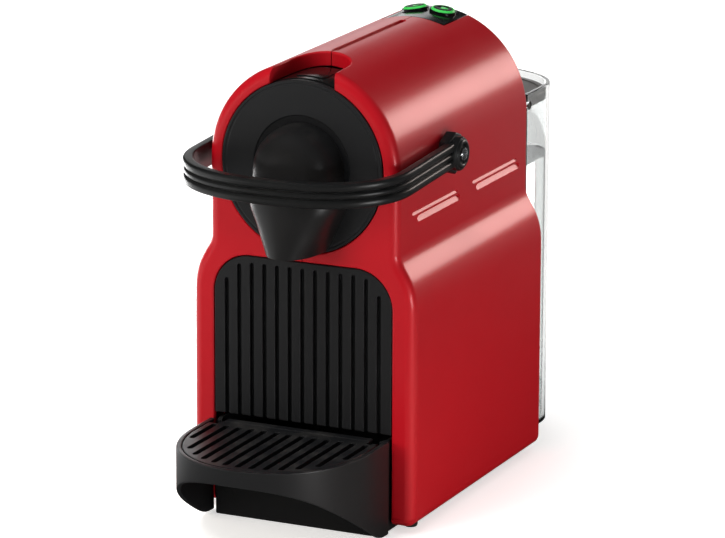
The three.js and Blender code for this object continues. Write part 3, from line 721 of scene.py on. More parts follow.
def buildSpringWire():  # a round wire wound as a helix
    tree, given, out = newNodes("springWire", {
        "Turns": 5.0, "Radius": 3 * mm, "Wire": 0.35 * mm, "Height": 9 * mm,
        "Place": (0.0, 0.0, 0.0), "Turn": (0.0, 0.0, 0.0), "Finish": None})
    helix = addNode(tree, "GeometryNodeCurveSpiral", {
        "Resolution": 36, "Rotations": given["Turns"], "Start Radius": given["Radius"],
        "End Radius": given["Radius"], "Height": given["Height"]})
    section = addNode(tree, "GeometryNodeCurvePrimitiveCircle", {"Resolution": 10, "Radius": given["Wire"]})
    wire = addNode(tree, "GeometryNodeCurveToMesh", {
        "Curve": helix.outputs[0], "Profile Curve": section.outputs[0], "Fill Caps": True})
    closeTree(tree, wire.outputs[0], given, out)


def grow(name, tree, points=(), **inputs):  # runs a tree and keeps the plain mesh
    piece = rawPiece(name, points)
    modifier = piece.modifiers.new(tree, "NODES")
    modifier.node_group = bpy.data.node_groups[tree]
    labels = {s.name: s.identifier for s in modifier.node_group.interface.items_tree
              if s.in_out == "INPUT"}
    for key, value in inputs.items():
        modifier[labels[key.replace("_", " ")]] = value
    settle(piece)
    return tidyMesh(piece)


buildSlotRow()
buildItemRow()
buildSpringWire()
print("trees built")


# Round front and spout

frontDisc = {"middle": 180, "radius": 43.2, "face": -0.5, "recess": 26.3, "dish": 1.2, "back": 2.6,
             "bore": 14}


def buildFrontDisc(d):
    outline = [(d["bore"], d["back"]), (d["bore"], d["dish"]), (21.5, d["dish"]), (d["recess"] - 0.9, 0.1),
               (d["recess"] - 0.2, d["face"]), (40.6, d["face"]), (41.0, d["face"] + 0.25),
               (41.6, d["face"] + 0.25), (42.0, d["face"]), (d["radius"], d["face"]),
               (d["radius"], d["back"])]
    radii = [0, 0, 1.5, 0.25, 0.3, 0.1, 0.1, 0.1, 0.1, 0.5, 0.2]
    return lathe("front_plate", roundProfile(outline, radii, 4), (0, 0, d["middle"]), (0, 1, 0), 128)


hood = {
    "middle": 180, "low": 139.5, "radius": 22.0, "proud": 22.0, "power": 3.1, "wall": 1.9, "root": 0.9,
    # height, half width, how far it stands out, squareness; the end rows only lead the curve
    "skirt": ((186, 23.0, 22.8, 2.9), (180, 22.0, 22.0, 3.1), (174, 23.0, 22.8, 2.9),
              (168, 24.2, 23.6, 2.7), (162, 24.0, 24.4, 2.6), (157, 21.9, 25.1, 2.5),
              (152, 19.5, 25.8, 2.4), (146, 16.9, 26.5, 2.35), (139.5, 13.6, 27.2, 2.3),
              (134, 11.0, 27.8, 2.3)),
}


def between(rows, key):  # smooth values along a list of rows, by the first column
    rows = sorted(rows)
    i = max(k for k in range(1, len(rows) - 2) if rows[k][0] <= key or k == 1)
    before, a, b, after = rows[i - 1:i + 3]
    t = (key - a[0]) / (b[0] - a[0])
    h = (2 * t ** 3 - 3 * t * t + 1, t ** 3 - 2 * t * t + t, 3 * t * t - 2 * t ** 3, t ** 3 - t * t)
    made = []
    for c in range(1, len(a)):
        m0 = (b[c] - before[c]) / (b[0] - before[0]) * (b[0] - a[0])
        m1 = (after[c] - a[c]) / (after[0] - a[0]) * (b[0] - a[0])
        made.append(h[0] * a[c] + h[1] * m0 + h[2] * b[c] + h[3] * m1)
    return made


def buildHood(h, columns=30, rows=40, turns=44):
    points, faces = [], []
    shares = [math.sin(math.pi / 2 * j / columns) for j in range(-columns, columns + 1)]
    wide = len(shares)
    for r in range(rows + 1):
        z = h["low"] + (h["middle"] - h["low"]) * r / rows
        half, proud, power = between(h["skirt"], z)
        for q in shares:
            points.append((q * half, h["root"] - proud * (1 - abs(q) ** power) ** (1 / power), z))
    for r in range(rows):
        for c in range(wide - 1):
            a = r * wide + c
            faces.append((a, a + 1, a + wide + 1, a + wide))
    start = len(points)
    outward = [math.sin(math.pi / 2 * j / columns) for j in range(columns + 1)]
    for k in range(turns + 1):
        turn = math.pi * k / turns
        for q in outward:
            y = h["root"] - h["proud"] * (1 - q ** h["power"]) ** (1 / h["power"])
            out = h["radius"] * q
            points.append((out * math.cos(turn), y, h["middle"] + out * math.sin(turn)))
    for k in range(turns):
        for c in range(columns):
            a = start + k * (columns + 1) + c
            faces.append((a, a + 1, a + columns + 2, a + columns + 1))
    shell = makePiece("spout_hood", points, faces)
    if sum(f.normal.y for f in shell.data.polygons) > 0:
        shell.data.flip_normals()
    wall = shell.modifiers.new("wall", "SOLIDIFY")
    wall.thickness = h["wall"] * mm
    wall.offset = -1
    wall.use_even_offset = True
    return settle(shell)


def buildFront():
    dress(buildFrontDisc(frontDisc), "satinBlack", "housing", ("front_disc",))
    dress(buildHood(hood), "hoodBlack", "housing", ("spout_cover",), sharp=50)


# Door under the notch

shutter = {"inner": 42.0, "outer": 43.6, "half": 27, "front": 3, "back": 31,
           "padHalf": 8, "padRun": (8, 22), "padProud": 0.45}


def sliceOutline(inner, outer, halfAngle, steps=32):
    def outline(inset):
        turn = math.degrees(inset / outer)
        return (arc(0, 180, outer - inset, 90 - halfAngle + turn, 90 + halfAngle - turn, steps)
                + arc(0, 180, inner + inset, 90 + halfAngle - turn, 90 - halfAngle + turn, steps))
    return outline


def buildShutter(s):
    slab = prism("slot_door", ringY, sliceOutline(s["inner"], s["outer"], s["half"]),
                 roundEnds(s["front"], s["back"], 0.5, 3, 0.2))
    pad = prism("pad", ringY, sliceOutline(s["outer"] - 0.6, s["outer"] + s["padProud"], 16),
                [(s["front"] + 1, 0), (s["back"] - 1, 0)])
    plan = roundBlock((-s["padHalf"], s["padHalf"]), s["padRun"], 3)
    carve(pad, loft("plan", [ringZ(plan(0), 200), ringZ(plan(0), 240)]), how="INTERSECT")
    return soften(weld(slab, pad), 0.25, 2, 50)


# Lever

lever = {
    "pivot": casing["pivot"], "half": 59.5, "front": 43, "power": 2.3, "slope": 0.05, "lift": 0.5,
    "runs": (54, 44, 34, 24, 15, 8, 3),  # where the arms are cut, back to front
    # inset from the outer face and height, round the band's section
    "section": ((4.2, 6.3), (1.3, 6.3), (0.55, 6.05), (0.12, 5.3), (0, 4.3), (0.1, 3.2), (0.5, 2.45),
                (1.2, 2.0), (1.55, 1.75), (1.2, 1.5), (0.6, 1.2), (0.35, 0.6), (0.3, 0), (0.35, -0.6),
                (0.6, -1.2), (1.2, -1.5), (1.55, -1.75), (1.2, -2.0), (0.5, -2.45), (0.1, -3.2), (0, -4.3),
                (0.12, -5.3), (0.55, -6.05), (1.3, -6.3), (4.2, -6.3), (4.75, -6.1), (5, -5.6), (5, 5.6),
                (4.75, 6.1)),
    "blockIn": 51.5, "blockOut": 57.2, "block": 9.7, "chamfer": 5.2,
    # radius and distance from the middle plane, round the boss
    "boss": ((0, 55), (8.6, 55), (8.6, 59.6), (8.0, 60.6), (7.3, 60.6), (7.1, 61.1), (6.4, 61.6),
             (5.6, 61.6), (5.0, 61.2), (4.7, 60.3), (0, 60.3)),
    "capRadius": 3.3, "cap": (60.25, 61.85),
}


def bandPath(inset):
    half, reach = lever["half"] - inset, lever["front"] - inset
    runs = lever["runs"]
    front = bowed(half, reach, lever["power"])
    return [(half, y) for y in runs] + front + [(-half, y) for y in reversed(runs)]


def buildBand(d):
    pivotY, pivotZ = d["pivot"]
    turn = math.atan(d["slope"])
    sections = [(bandPath(inset), h) for inset, h in d["section"]]
    rings = []
    for i in range(len(sections[0][0])):
        ring = []
        for path, h in sections:
            x, y = path[i]
            away = y - pivotY
            ring.append((x, pivotY + away * math.cos(turn) - h * math.sin(turn),
                         pivotZ + d["lift"] + away * math.sin(turn) + h * math.cos(turn)))
        rings.append(ring)
    return loft("band", rings)


def buildHub(d, side):
    pivotY, pivotZ = d["pivot"]
    half, cut = d["block"], d["chamfer"]
    corners = [(half, half - cut), (half - cut, half), (cut - half, half), (-half, half - cut),
               (-half, cut - half), (cut - half, -half), (half - cut, -half), (half, cut - half)]
    turn = math.radians(22.5) + 0.05

    def outline(inset):
        share = (half - inset) / half
        spots = [(pivotY + (a * math.cos(turn) - b * math.sin(turn)) * share,
                  pivotZ + (a * math.sin(turn) + b * math.cos(turn)) * share) for a, b in corners]
        return roundProfile(spots, 1.6, 4)

    rings = [ringX(outline(inset), side * x) for x, inset in roundEnds(d["blockIn"], d["blockOut"], 0.9, 4)]
    boss = roundProfile(d["boss"], [0] + [0.35] * 9 + [0], 3)
    disc = lathe("boss", boss, (0, pivotY, pivotZ), (side, 0, 0), 64)
    return loft("hub", rings), disc


def starCap(d, name, side):
    pivotY, pivotZ = d["pivot"]
    low, high = d["cap"]
    cap = lathe(f"lever_star_{name}",
                roundProfile([(0, low), (d["capRadius"], low), (d["capRadius"], high), (0, high)],
                             [0, 0.1, 0.45, 0], 3), (0, pivotY, pivotZ), (side, 0, 0), 48)
    star = []
    for i in range(48):
        t = 2 * math.pi * i / 48
        r = 1.75 + 0.55 * math.cos(6 * t)
        star.append((pivotY + r * math.cos(t), pivotZ + r * math.sin(t)))
    inner = [((y - pivotY) * 0.86 + pivotY, (z - pivotZ) * 0.86 + pivotZ) for y, z in star]
    return carve(cap, loft("star", [ringX(inner, side * (high - 0.9)), ringX(star, side * (high + 1))]))


def buildLever():
    d = lever
    parts = [buildBand(d)]
    for name, side in sides:
        parts += buildHub(d, side)
    loopPiece = weld(parts[0], *parts[1:])
    loopPiece.name = "lever_band"
    dress(loopPiece, "leverBlack", "lever", ("lever_loop",), sharp=45)
    for name, side in sides:
        dress(starCap(d, name, side), "brightChrome", "lever", (f"lever_cap_{name}",))


# Buttons on top

buttons = {
    "y": 150, "tilt": math.asin(7.75 / 51),
    "cap": ((0, 45), (5.0, 45), (5.0, 52.3), (4.5, 52.95), (3.6, 53), (2.8, 52.75), (0, 52.6)),
    "ring": ((5.2, 47.6), (6.3, 47.6), (6.3, 51.7), (6.1, 52.2), (5.45, 52.85), (5.2, 52.85)),
    "collarOut": 7.0, "collarIn": 6.45, "collarTop": 51.9,
    "panelHalf": 19.6, "panel": (48.4, 50.85), "panelRun": (129, 160),
}


def tilted(piece, side):  # from upright on the middle plane to the drum's slope
    spin = Matrix.Translation(at(0, 0, 180)) @ Matrix.Rotation(side * buttons["tilt"], 4, "Y")
    piece.data.transform(spin @ Matrix.Translation(-at(0, 0, 0)))
    return piece


def cupMark(cupHalf, cupTall):  # a small raised cup with a handle
    top, foot = cupHalf, cupHalf * 0.72
    body = [(-top, cupTall), (-foot, -cupTall * 0.7), (-foot * 0.6, -cupTall), (foot * 0.6, -cupTall),
            (foot, -cupTall * 0.7), (top, cupTall)]
    cup = loft("mark", [ringZ([(x, y + buttons["y"]) for x, y in body], 52.5),
                        ringZ([(x, y + buttons["y"]) for x, y in body], 52.86)])
    handle = lathe("handle", [(0.45, -0.18), (0.8, -0.18), (0.8, 0.18), (0.45, 0.18)],
                   (top + 0.25, buttons["y"] + cupTall * 0.25, 52.66), (0, 0, 1), 20)
    return cup, handle


def buildButtons():
    d = buttons
    origin = (0, d["y"], 0)
    panel = prism("button_plate", ringY, sliceOutline(*d["panel"], d["panelHalf"]),
                  roundEnds(*d["panelRun"], 0.4, 3, 0.2))
    for name, side in sides:
        tall = [(0, 47), (d["collarOut"], 47), (d["collarOut"], d["collarTop"]), (0, d["collarTop"])]
        collar = lathe("collar", roundProfile(tall, [0, 0, 0.35, 0], 4), origin, (0, 0, 1), 64)
        weld(panel, tilted(collar, side))
    for name, side in sides:
        carve(panel, tilted(peg("well", d["collarIn"], 30, 70, origin, (0, 0, 1), 64), side))
    dress(panel, "glossBlack", "housing", ("button_panel",))
    for name, side, half, high in (("left", -1, 1.25, 0.95), ("right", 1, 1.5, 1.5)):
        ring = lathe(f"glow_ring_{name}", roundProfile(d["ring"], 0.12, 2), origin, (0, 0, 1), 64)
        dress(tilted(ring, side), "greenGlow", "housing", (f"light_ring_{name}",))
        profile = roundProfile(d["cap"], [0, 0.1, 0.5, 0.3, 0.5, 0.8, 0], 3)
        cap = tilted(lathe(f"press_cap_{name}", profile, origin, (0, 0, 1), 64), side)
        mark = tilted(weld(*cupMark(half, high)), side)
        mark.name = f"cup_mark_{name}"
        dress(mark, "greenGlow", f"{name}_button")
        dress(cap, "satinBlack", f"{name}_button", (f"button_{name}",))


# Cup tray, grid and drip base

tray = {
    "half": 49, "middle": -22, "front": -78.5, "power": 2.2, "back": -4, "top": 48, "deck": (41.5, 44.4),
    "hinge": (-6, 43), "pin": 1.8, "pinHole": 2.2, "pinRun": (40.6, 47.5),
    # room for the hinge's ears on both sides, the gap behind the grid and the rim at the back
    "earRoom": ((40.2, 46.5), (-11, 5), (30, 60)), "gap": ((-30, 30), (-16, -11), (30, 60)),
    "rim": ((-39.6, 39.6), (-6.6, -1.6), 0.8),
    # how high the tray's lower edge is, along its depth
    "edge": ((-100, 44), (-90, 42), (-78.5, 39.4), (-66, 33.2), (-52, 24.2), (-38, 15.2), (-28, 9.2),
             (-19, 4.0), (-13, 1.3), (-8, 0.6), (0, 0.5), (6, 0.5)),
}


def trayPath(inset, back, runs=(1.0, 0.75, 0.5, 0.25)):
    half, reach = tray["half"] - inset, tray["middle"] - tray["front"] - inset
    front = bowed(half, reach, tray["power"], tray["middle"], 72)
    side = [tray["middle"] + (back - tray["middle"]) * r for r in runs]
    return [(half, y) for y in side] + front + [(-half, y) for y in reversed(side)]


def buildTray(d):
    rings = []
    insets = (0, 0.2, 0.8, 1.5, 2.0, 2.2, 2.2, 2.7, 2.7, 2.5, 2.05, 0.75, 0.2, 0)
    runs = (1, 0.86, 0.7, 0.55, 0.4, 0.25, 0.12)
    paths = {inset: trayPath(inset, d["back"], runs) for inset in insets}
    for i in range(len(paths[0])):
        low = between(d["edge"], paths[0][i][1])[0]
        high = d["top"]
        heights = (low + 0.8, low + 0.22, low, low, low + 0.2, low + 0.7, max(high - 5.8, low + 0.8),
                   high - 4, high - 0.7, high - 0.2, high, high, high - 0.25, high - 0.9)
        rings.append([(*paths[inset][i], z) for inset, z in zip(insets, heights)])
    wall = loft("cup_shelf", rings)
    deck = prism("deck", ringZ, lambda i: trayPath(1.2 + i, d["back"]), [(z, 0) for z in d["deck"]])
    rim = prism("rim", ringZ, roundBlock(*d["rim"]), roundEnds(d["top"] - 6, d["top"], 0.5, 3, 0.2))
    weld(wall, deck, rim)
    hingeY, hingeZ = d["hinge"]
    for name, side in sides:
        carve(wall, sideBlock(side, *d["earRoom"]))
    carve(wall, block(*d["gap"]))
    for name, side in sides:
        weld(wall, peg("pin", d["pin"], *d["pinRun"], (0, hingeY, hingeZ), (side, 0, 0), 24))
    return wall


grid = {
    "inset": 3.1, "back": -6.9, "height": (44.7, 47.9), "earRoom": ((39.9, 50), (-11.4, 5), (30, 60)),
    "slots": 13, "pitch": 6.9, "slotHalf": 1.6, "slotStart": 14, "slotBase": 22, "slotReach": 48.5,
    "bowHalf": 43, "bowPower": 2.2,
}


def buildGrid(d):
    plate = prism("drip_grid", ringZ, lambda i: trayPath(d["inset"] + i, d["back"]),
                  roundEnds(*d["height"], 0.5, 3, 0.2))
    slots = grow("slots", "slotRow", Count=d["slots"], Pitch=d["pitch"] * mm, Half_Width=d["slotHalf"] * mm,
                 Half_Depth=6 * mm, Start=d["slotStart"] * mm, Base=d["slotBase"] * mm,
                 Reach=d["slotReach"] * mm, Bow_Half=d["bowHalf"] * mm, Bow_Power=d["bowPower"],
                 Turn=(0, 0, math.pi), Place=at(0, 0, 46))
    for name, side in sides:
        carve(plate, sideBlock(side, *d["earRoom"]))
    return soften(carve(plate, slots), 0.35, 2, 60)


base = {"front": -9.7, "narrow": 43, "half": 47, "shoulder": 2, "back": 62, "low": 0.4, "high": 47,
        "wall": 2, "ear": 3.6, "earRun": (41.05, 42.95), "frontCut": ((-60, 60), (-20, -2.2), (38, 60))}


def baseOutline(inset):
    d = base
    n, w, back = d["narrow"] - inset, d["half"] - inset, d["back"] - inset
    corners = [(-n, d["front"] + inset), (n, d["front"] + inset), (w, d["shoulder"] + inset * 0.3),
               (w, back), (-w, back), (-w, d["shoulder"] + inset * 0.3)]
    return roundProfile(corners, [1.2, 1.2, 3, 2.5, 2.5, 3], 4)


def buildBase(d):
    tub = prism("drip_tub", ringZ, baseOutline, roundEnds(d["low"], d["high"], 0.6, 3, 0.3))
    carve(tub, block(*d["frontCut"]))
    carve(tub, prism("inner", ringZ, lambda i: baseOutline(d["wall"] + i),
                     [(d["low"] + 2, 1), (d["low"] + 3, 0), (60, 0)]))
    hingeY, hingeZ = tray["hinge"]
    reach = d["ear"]
    for name, side in sides:
        ear = arc(hingeY, hingeZ, reach, 0, 180, 14) + [(hingeY - reach, 34), (hingeY + reach, 34)]
        weld(tub, loft("ear", [ringX(ear, side * x) for x in d["earRun"]]))
    carve(tub, peg("pinHole", tray["pinHole"], -60, 60, (0, hingeY, hingeZ), (1, 0, 0), 24))
    return soften(tub, 0.3, 2, 55)


def buildTrays():
    dress(buildTray(tray), "satinBlack", "tray", ("cup_tray",), sharp=40)
    dress(buildGrid(grid), "satinBlack", "grid", ("cup_grid",))
    dress(buildBase(base), "satinBlack", "drip_base", ("drip_base",))


# Used-capsule bin

ribPanel = {"half": 48.2, "top": 132, "corner": 19.5, "bottom": 50, "front": 0.4, "back": 3.5,
            "ribs": 13, "pitch": 6.89, "slotHalf": 1.22, "slotDeep": 2.3, "slotRun": (40, 41.7),
            "slotReach": 86, "bowHalf": 43.5, "bowPower": 9.0}
capsuleTub = {"inset": 2, "bottom": 50.6, "run": (3.8, 60),
              "rooms": (((-44, 44), (6, 58), (53, 112)), ((-38, 38), (6, 58), (110, 150)))}


def panelOutline(inset, bottom=ribPanel["bottom"]):
    return arched(ribPanel, inset, bottom + min(inset, 1.5), 16)


def buildRibPanel(d):
    front = prism("rib_panel", ringY, panelOutline, roundEnds(d["front"], d["back"], 0.6, 4, 0.3))
    start, base = d["slotRun"]
    slots = grow("slots", "slotRow", Count=d["ribs"], Pitch=d["pitch"] * mm, Half_Width=d["slotHalf"] * mm,
                 Half_Depth=d["slotDeep"] * mm, Start=start * mm, Base=base * mm,
                 Reach=d["slotReach"] * mm, Bow_Half=d["bowHalf"] * mm, Bow_Power=d["bowPower"],
                 Turn=(math.pi / 2, 0, 0), Place=at(0, d["front"], 0))
    return soften(carve(front, slots), 0.25, 2, 60)


def buildCapsuleTub(d):
    tub = prism("capsule_tub", ringY, lambda i: panelOutline(d["inset"] + i, d["bottom"]),
                roundEnds(*d["run"], 0.8, 3, 0.3))
    return soften(carve(tub, *[block(*room) for room in d["rooms"]]), 0.4, 2, 55)


def buildCapsuleBin():
    dress(buildRibPanel(ribPanel), "satinBlack", "bin", ("bin_front",))
    dress(buildCapsuleTub(capsuleTub), "satinBlack", "bin", ("capsule_bin",))


# Water tank

tank = {
    "half": 49.2, "front": 161.2, "back": 223.5, "round": 190, "bottom": 5, "top": 188, "wall": 2.2,
    "water": 149.7, "lidPivot": (167.8, 181.5), "lidInset": 2.8, "lid": (179.5, 184.7),
    "pin": 1.8, "pinHole": 2.2, "pinRun": (40, 48.8),
    # radius and height of the valve's guide, and the radii and heights of the room round it
    "valve": 186, "guide": ((2.6, 5.05), (11, 5.05), (11, 13), (8, 13), (8, 8), (2.6, 8)),
    "valveHole": (10.5, 0, 10), "seatRoom": (7.4, 0, 5.6), "valveRoom": (11.6, 0, 28.6),
}


def tankOutline(inset, front=None):
    d = tank
    half, reach = d["half"] - inset, d["back"] - d["round"] - inset
    front = d["front"] + inset if front is None else front
    corner = max(4 - inset, 1)
    back = [(half * x, d["round"] + reach * y) for x, y in arc(0, 0, 1, 0, 180, 40)]
    return (arc(corner - half, front + corner, corner, 180, 270, 6)
            + arc(half - corner, front + corner, corner, 270, 360, 6) + back)


def buildTankBody(d):
    w = d["wall"]
    top, floor = d["top"], d["bottom"] + w
    stations = [(d["bottom"], 1.6)] + rounding(d["bottom"], 1, 1.2, 4)
    stations += [(20, 0), (100, 0), (top - 3.4, 0), (top - 3, 0), (top - 0.5, 0), (top - 0.12, 0.15),
                 (top, 0.6), (top, w - 0.6), (top - 0.12, w - 0.15), (top - 0.5, w), (100, w), (20, w),
                 (floor + 1, w), (floor + 0.3, w + 0.3), (floor, w + 1), (floor, w + 1.6)]
    body = prism("tank_body", ringZ, tankOutline, stations)
    v = d["valve"]
    carve(body, peg("hole", *d["valveHole"], (0, v, 0), (0, 0, 1)))
    weld(body, lathe("guide", roundProfile(d["guide"], 0.25, 2), (0, v, 0), (0, 0, 1), 48))
    carve(body, peg("seatRoom", *d["seatRoom"], (0, v, 0), (0, 0, 1)))
    y, z = d["lidPivot"]
    return carve(body, peg("pivotHole", d["pinHole"], -60, 60, (0, y, z), (1, 0, 0), 24))


def buildWater(d):
    inset, low = d["wall"] + 0.05, d["bottom"] + d["wall"] + 0.05
    level = d["water"]
    stations = [(low, inset + 1.4), (low + 0.3, inset + 0.4), (low + 1, inset), (60, inset), (110, inset),
                (level - 0.6, inset), (level + 0.5, inset), (level + 0.35, inset + 0.25),
                (level, inset + 0.9), (level - 0.15, inset + 2), (level - 0.2, inset + 4)]
    water = prism("water", ringZ, tankOutline, stations)
    return carve(water, peg("valveRoom", *d["valveRoom"], (0, d["valve"], 0), (0, 0, 1)))


def buildLid(d):
    y, z = d["lidPivot"]
    low, high = d["lid"]
    lid = prism("tank_cover", ringZ, lambda i: tankOutline(d["lidInset"] + i, y - 2.4 + i),
                roundEnds(low, high, 0.7, 4, 0.3))
    carve(lid, prism("hollow", ringZ, lambda i: tankOutline(5.5 + i, y + 4 + i), [(170, 0), (z + 1, 0)]))
    carve(lid, prism("sunk", ringZ, lambda i: tankOutline(d["lidInset"] + 3 - i, y + 6 - i),
                     [(high - 0.5, -0.6), (high - 0.1, -0.2), (high + 2, 0.5)]))
    for name, side in sides:
        weld(lid, peg("pin", d["pin"], *d["pinRun"], (0, y, z), (side, 0, 0), 28))
    return soften(lid, 0.2, 2, 55)


def buildTank():
    dress(buildTankBody(tank), "clearTank", "tank", ("water_tank",), sharp=40)
    dress(buildWater(tank), "tankWater", "tank", sharp=50)
    dress(buildLid(tank), "lidGrey", "lid", ("tank_lid",))


# Feet, screws and springs

# distance from the middle and from the front, radius, height
feet = {"front": (52.2, 15.5, 3.5, 2.9), "rear": (28, 204, 4.6, 2.0)}
screws = {
    "places": [(x, 160, z) for x, z in ((-51, 60), (51, 60), (-51, 104), (51, 104), (-36, 206), (36, 206))],
    "radius": 2.6, "proud": 0.55, "cross": 0.42,
}
springs = {
    # radius, wire, bottom and top along its axis, turns
    "button": (3, 0.35, 36.8, 44.4, 4), "valve": (4, 0.4, 13.3, 25.6, 5),
}


def buildFeet(d):
    for name, side in sides:
        for end, (x, y, radius, high) in d.items():
            profile = [(0, 0), (radius - 0.5, 0), (radius, 0.9), (radius, high), (0, high)]
            foot = lathe(f"{end}_pad_{name}", roundProfile(profile, [0, 0.3, 0.3, 0.1, 0], 3),
                         (side * x, y, 0), (0, 0, 1), 40)
            dress(foot, "footRubber", "housing", (f"{end}_foot_{name}",))


def buildScrews(d):
    r, proud = d["radius"], d["proud"]
    profile = [(0, -0.8), (r, -0.8), (r, 0.2), (r * 0.6, proud), (0, proud)]
    head = lathe("screw", roundProfile(profile, [0, 0, 0.25, 0.3, 0], 3), (0, 0, 0), (0, 1, 0), 32)
    half = d["cross"]
    carve(head, block((-1.6, 1.6), (0, 3), (-half, half)), block((-half, half), (0, 3), (-1.6, 1.6)))
    head.data.transform(Matrix.Translation(-at(0, 0, 0)))
    rows = grow("back_screws", "itemRow", points=d["places"], Item=head)
    bpy.data.objects.remove(head)
    dress(rows, "turnedSteel", "housing")


def windSpring(name, size, y):
    radius, wire, low, high, turns = size
    return grow(name, "springWire", Turns=float(turns), Radius=radius * mm, Wire=wire * mm,
                Height=(high - low - wire * 2) * mm, Place=at(0, y, low + wire))


def buildSprings(d):
    for name, side in sides:
        coil = tilted(windSpring(f"return_spring_{name}", d["button"], buttons["y"]), side)
        dress(coil, "springWire", f"{name}_button", (f"button_spring_{name}",))
    coil = windSpring("valve_coil", d["valve"], tank["valve"])
    dress(coil, "springWire", "valve", ("valve_spring",))


buildFront()
dress(buildShutter(shutter), "glossBlack", "shutter", ("slot_shutter",))
buildLever()
buildButtons()
buildTrays()
buildCapsuleBin()
buildTank()
buildFeet(feet)
buildScrews(screws)
buildSprings(springs)
print("pieces made")


# Finishes of the CAD nodes that stay

keptFinishes = {
    "satinBlack": "base_plate rear_panel tank_dock thermostat",
    "greyMoulding": "inner_frame valve_seat brew_frame pump_body",
    "whiteMoulding": "lever_bush_left lever_bush_right flow_meter capsule_cage tank_filter",
    "footRubber": "cord_inlet seat_seal pump_mount_front pump_mount_rear cage_seal",
    "turnedSteel": "extraction_plate piercing_plate crank_left crank_right con_rod_left con_rod_right",
    "castAluminium": "heater_block",
    "paleSilicone": "coffee_outlet tank_hose pump_hose heater_hose brew_hose tank_valve",
    "boardGreen": "control_board",
    "coilBlue": "pump_coil",
}
for finishName, nodeNames in keptFinishes.items():
    for nodeName in nodeNames.split():
        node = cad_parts[nodeName]
        node.data.materials.clear()
        node.data.materials.append(bpy.data.materials[finishName])
        for face in node.data.polygons:
            face.material_index = 0
print("kept nodes finished")


# Stage

studio = {
    "azimuth": 24.96, "elevation": 14.84, "roll": 0.19, "distance": 2219.4, "lens": 218.34,
    "aim": (0, 75, 110), "slide": (2.02, -0.94),
    "middle": 72.5, "inner": 200, "outer": 9000, "least": 0.008, "glow": 0.55,
    # where the floor's painted reflection is bright, an emission seen only in the gloss: direction, where
    # it starts and is full in metres, how bright
    "bright": (((-0.9, 0.42, 0), 0.04, 0.16, 0.9), ((-0.3, -0.95, 0), 0.04, 0.16, 0.09),
               ((0.86, -0.51, 0), 0.066, 0.12, 0.12)),
    "sky": (0.30, 0.30, 0.30, 1), "skyInGloss": (0.02, 0.02, 0.02, 1),
}


def addCamera():
    a, e, r = (math.radians(studio[k]) for k in ("azimuth", "elevation", "roll"))
    back = Vector((math.sin(a) * math.cos(e), -math.cos(a) * math.cos(e), math.sin(e)))
    right = (-back).cross(Vector((0, 0, 1))).normalized()
    up = right.cross(-back)
    side = right * math.cos(r) + up * math.sin(r)
    top = up * math.cos(r) - right * math.sin(r)
    place = (at(*studio["aim"]) - side * studio["slide"][0] * mm - top * studio["slide"][1] * mm
             + back * studio["distance"] * mm)
    camera = linked("camera", bpy.data.cameras.new("camera"))
    camera.data.lens = studio["lens"]
    camera.data.clip_end = 100
    turn = Matrix((side, top, back)).transposed().to_4x4()
    camera.matrix_world = Matrix.Translation(place) @ turn
    bpy.context.scene.camera = camera


def addSoftbox(name, towards, distance, size, power, colour="ffffff", aim=(0, 60, 130), sheen=True):
    data = bpy.data.lights.new(name, "AREA")
    data.shape = "RECTANGLE"
    data.size, data.size_y = size
    data.energy = power
    data.color = paint(colour)[:3]
    light = linked(name, data)
    direction = Vector(towards).normalized()
    light.location = at(*aim) + direction * distance
    light.rotation_mode = "QUATERNION"
    light.rotation_quaternion = direction.to_track_quat("Z", "Y")
    light.visible_camera = False
    light.visible_glossy = sheen


def plainlySeen(tree, path):  # by the camera, or through the clear parts
    rays = path.outputs["Is Camera Ray"], path.outputs["Is Transmission Ray"]
    return maths(tree, "ADD", *rays, use_clamp=True)


def mixShaders(tree, share, one, other):
    return addNode(tree, "ShaderNodeMixShader", {0: share, 1: one, 2: other}).outputs[0]


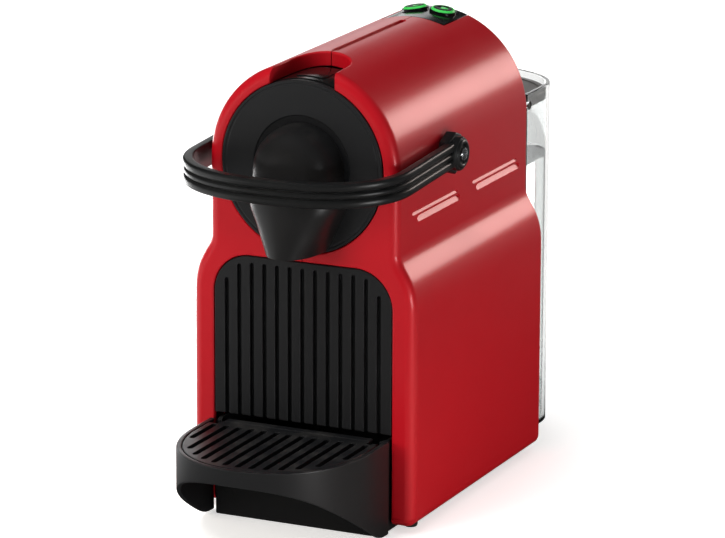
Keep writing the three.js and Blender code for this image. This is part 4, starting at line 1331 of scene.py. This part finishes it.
def addFloor(d):
    rings = [ringZ(circle(0, d["middle"], radius, 96), 0) for radius in (d["inner"], d["outer"], 1)]
    floor = together("floor", loft("wide", rings[:2], caps=False), loft("near", rings[::2], caps=False))
    tidyMesh(floor)
    finish, tree, shader, place = newMaterial("paleFloor")
    tone = spread(tree, cloudy(tree, place, 3), 0, 1, 0.86, 0.9)
    shade = addNode(tree, "ShaderNodeCombineColor", {0: tone, 1: tone, 2: tone})
    tree.links.new(shade.outputs[0], shader["Base Color"])
    setPlain(shader, {"Roughness": 0.9, "Specular IOR Level": 0.1})
    # the floor looks white; in the gloss it shows a painted reflection, an emission bright only to the left
    # and the right
    path = addNode(tree, "ShaderNodeLightPath")
    most = d["least"]
    for towards, start, end, amount in d["bright"]:
        along = addNode(tree, "ShaderNodeVectorMath", {0: place, 1: towards}, operation="DOT_PRODUCT")
        tone = spread(tree, along.outputs["Value"], start, end, 0, amount)
        most = maths(tree, "MAXIMUM", tone, most)
    paintedReflection = addNode(tree, "ShaderNodeEmission", {"Strength": most}).outputs[0]
    matt = tree.nodes["Principled BSDF"].outputs[0]
    glow = addNode(tree, "ShaderNodeEmission", {"Color": (1, 1, 1, 1), "Strength": d["glow"]})
    bright = addNode(tree, "ShaderNodeAddShader", {0: matt, 1: glow.outputs[0]}).outputs[0]
    unseen = mixShaders(tree, path.outputs["Is Glossy Ray"], matt, paintedReflection)
    final = mixShaders(tree, plainlySeen(tree, path), unseen, bright)
    tree.links.new(final, tree.nodes["Material Output"].inputs["Surface"])
    floor.data.materials.append(finish)


def addSky(d):
    world = bpy.data.worlds.new("room")
    bpy.context.scene.world = world
    world.use_nodes = True
    tree = world.node_tree
    path = addNode(tree, "ShaderNodeLightPath")
    dim = blend(tree, path.outputs["Is Glossy Ray"], d["sky"], d["skyInGloss"])
    tone = blend(tree, plainlySeen(tree, path), dim, (1, 1, 1, 1))
    tree.links.new(tone, tree.nodes["Background"].inputs["Color"])


addCamera()
addSky(studio)
addFloor(studio)
addSoftbox("backBand", (0.414, 0.875, 0.25), 1.5, (0.42, 0.34), 3.7, "fff0e8")
addSoftbox("sideGlow", (1, -0.2, -0.02), 0.17, (0.4, 0.04), 0.3, "ffd4bc", aim=(60, 60, 16), sheen=False)
addSoftbox("backLeft", (-0.42, 0.876, 0.22), 1.5, (0.7, 0.4), 1.2)
addSoftbox("topFill", (-0.3, -0.35, 1), 1.6, (1.2, 1.2), 24, sheen=False)
addSoftbox("frontFill", (-0.6, -1, 0.35), 2.0, (1.0, 1.0), 25, "fff2e0", sheen=False)
addSoftbox("frontSheen", (-0.6, -1, 0.35), 2.0, (0.8, 0.8), 3.6)
addSoftbox("leftRim", (-0.72, 0.62, -0.2), 0.42, (0.5, 0.16), 1.6, aim=(0, 60, 140))
addSoftbox("rightRim", (0.875, -0.407, -0.1), 0.9, (0.3, 0.3), 3)
bpy.context.scene.view_settings.view_transform = "Standard"
print("stage set")
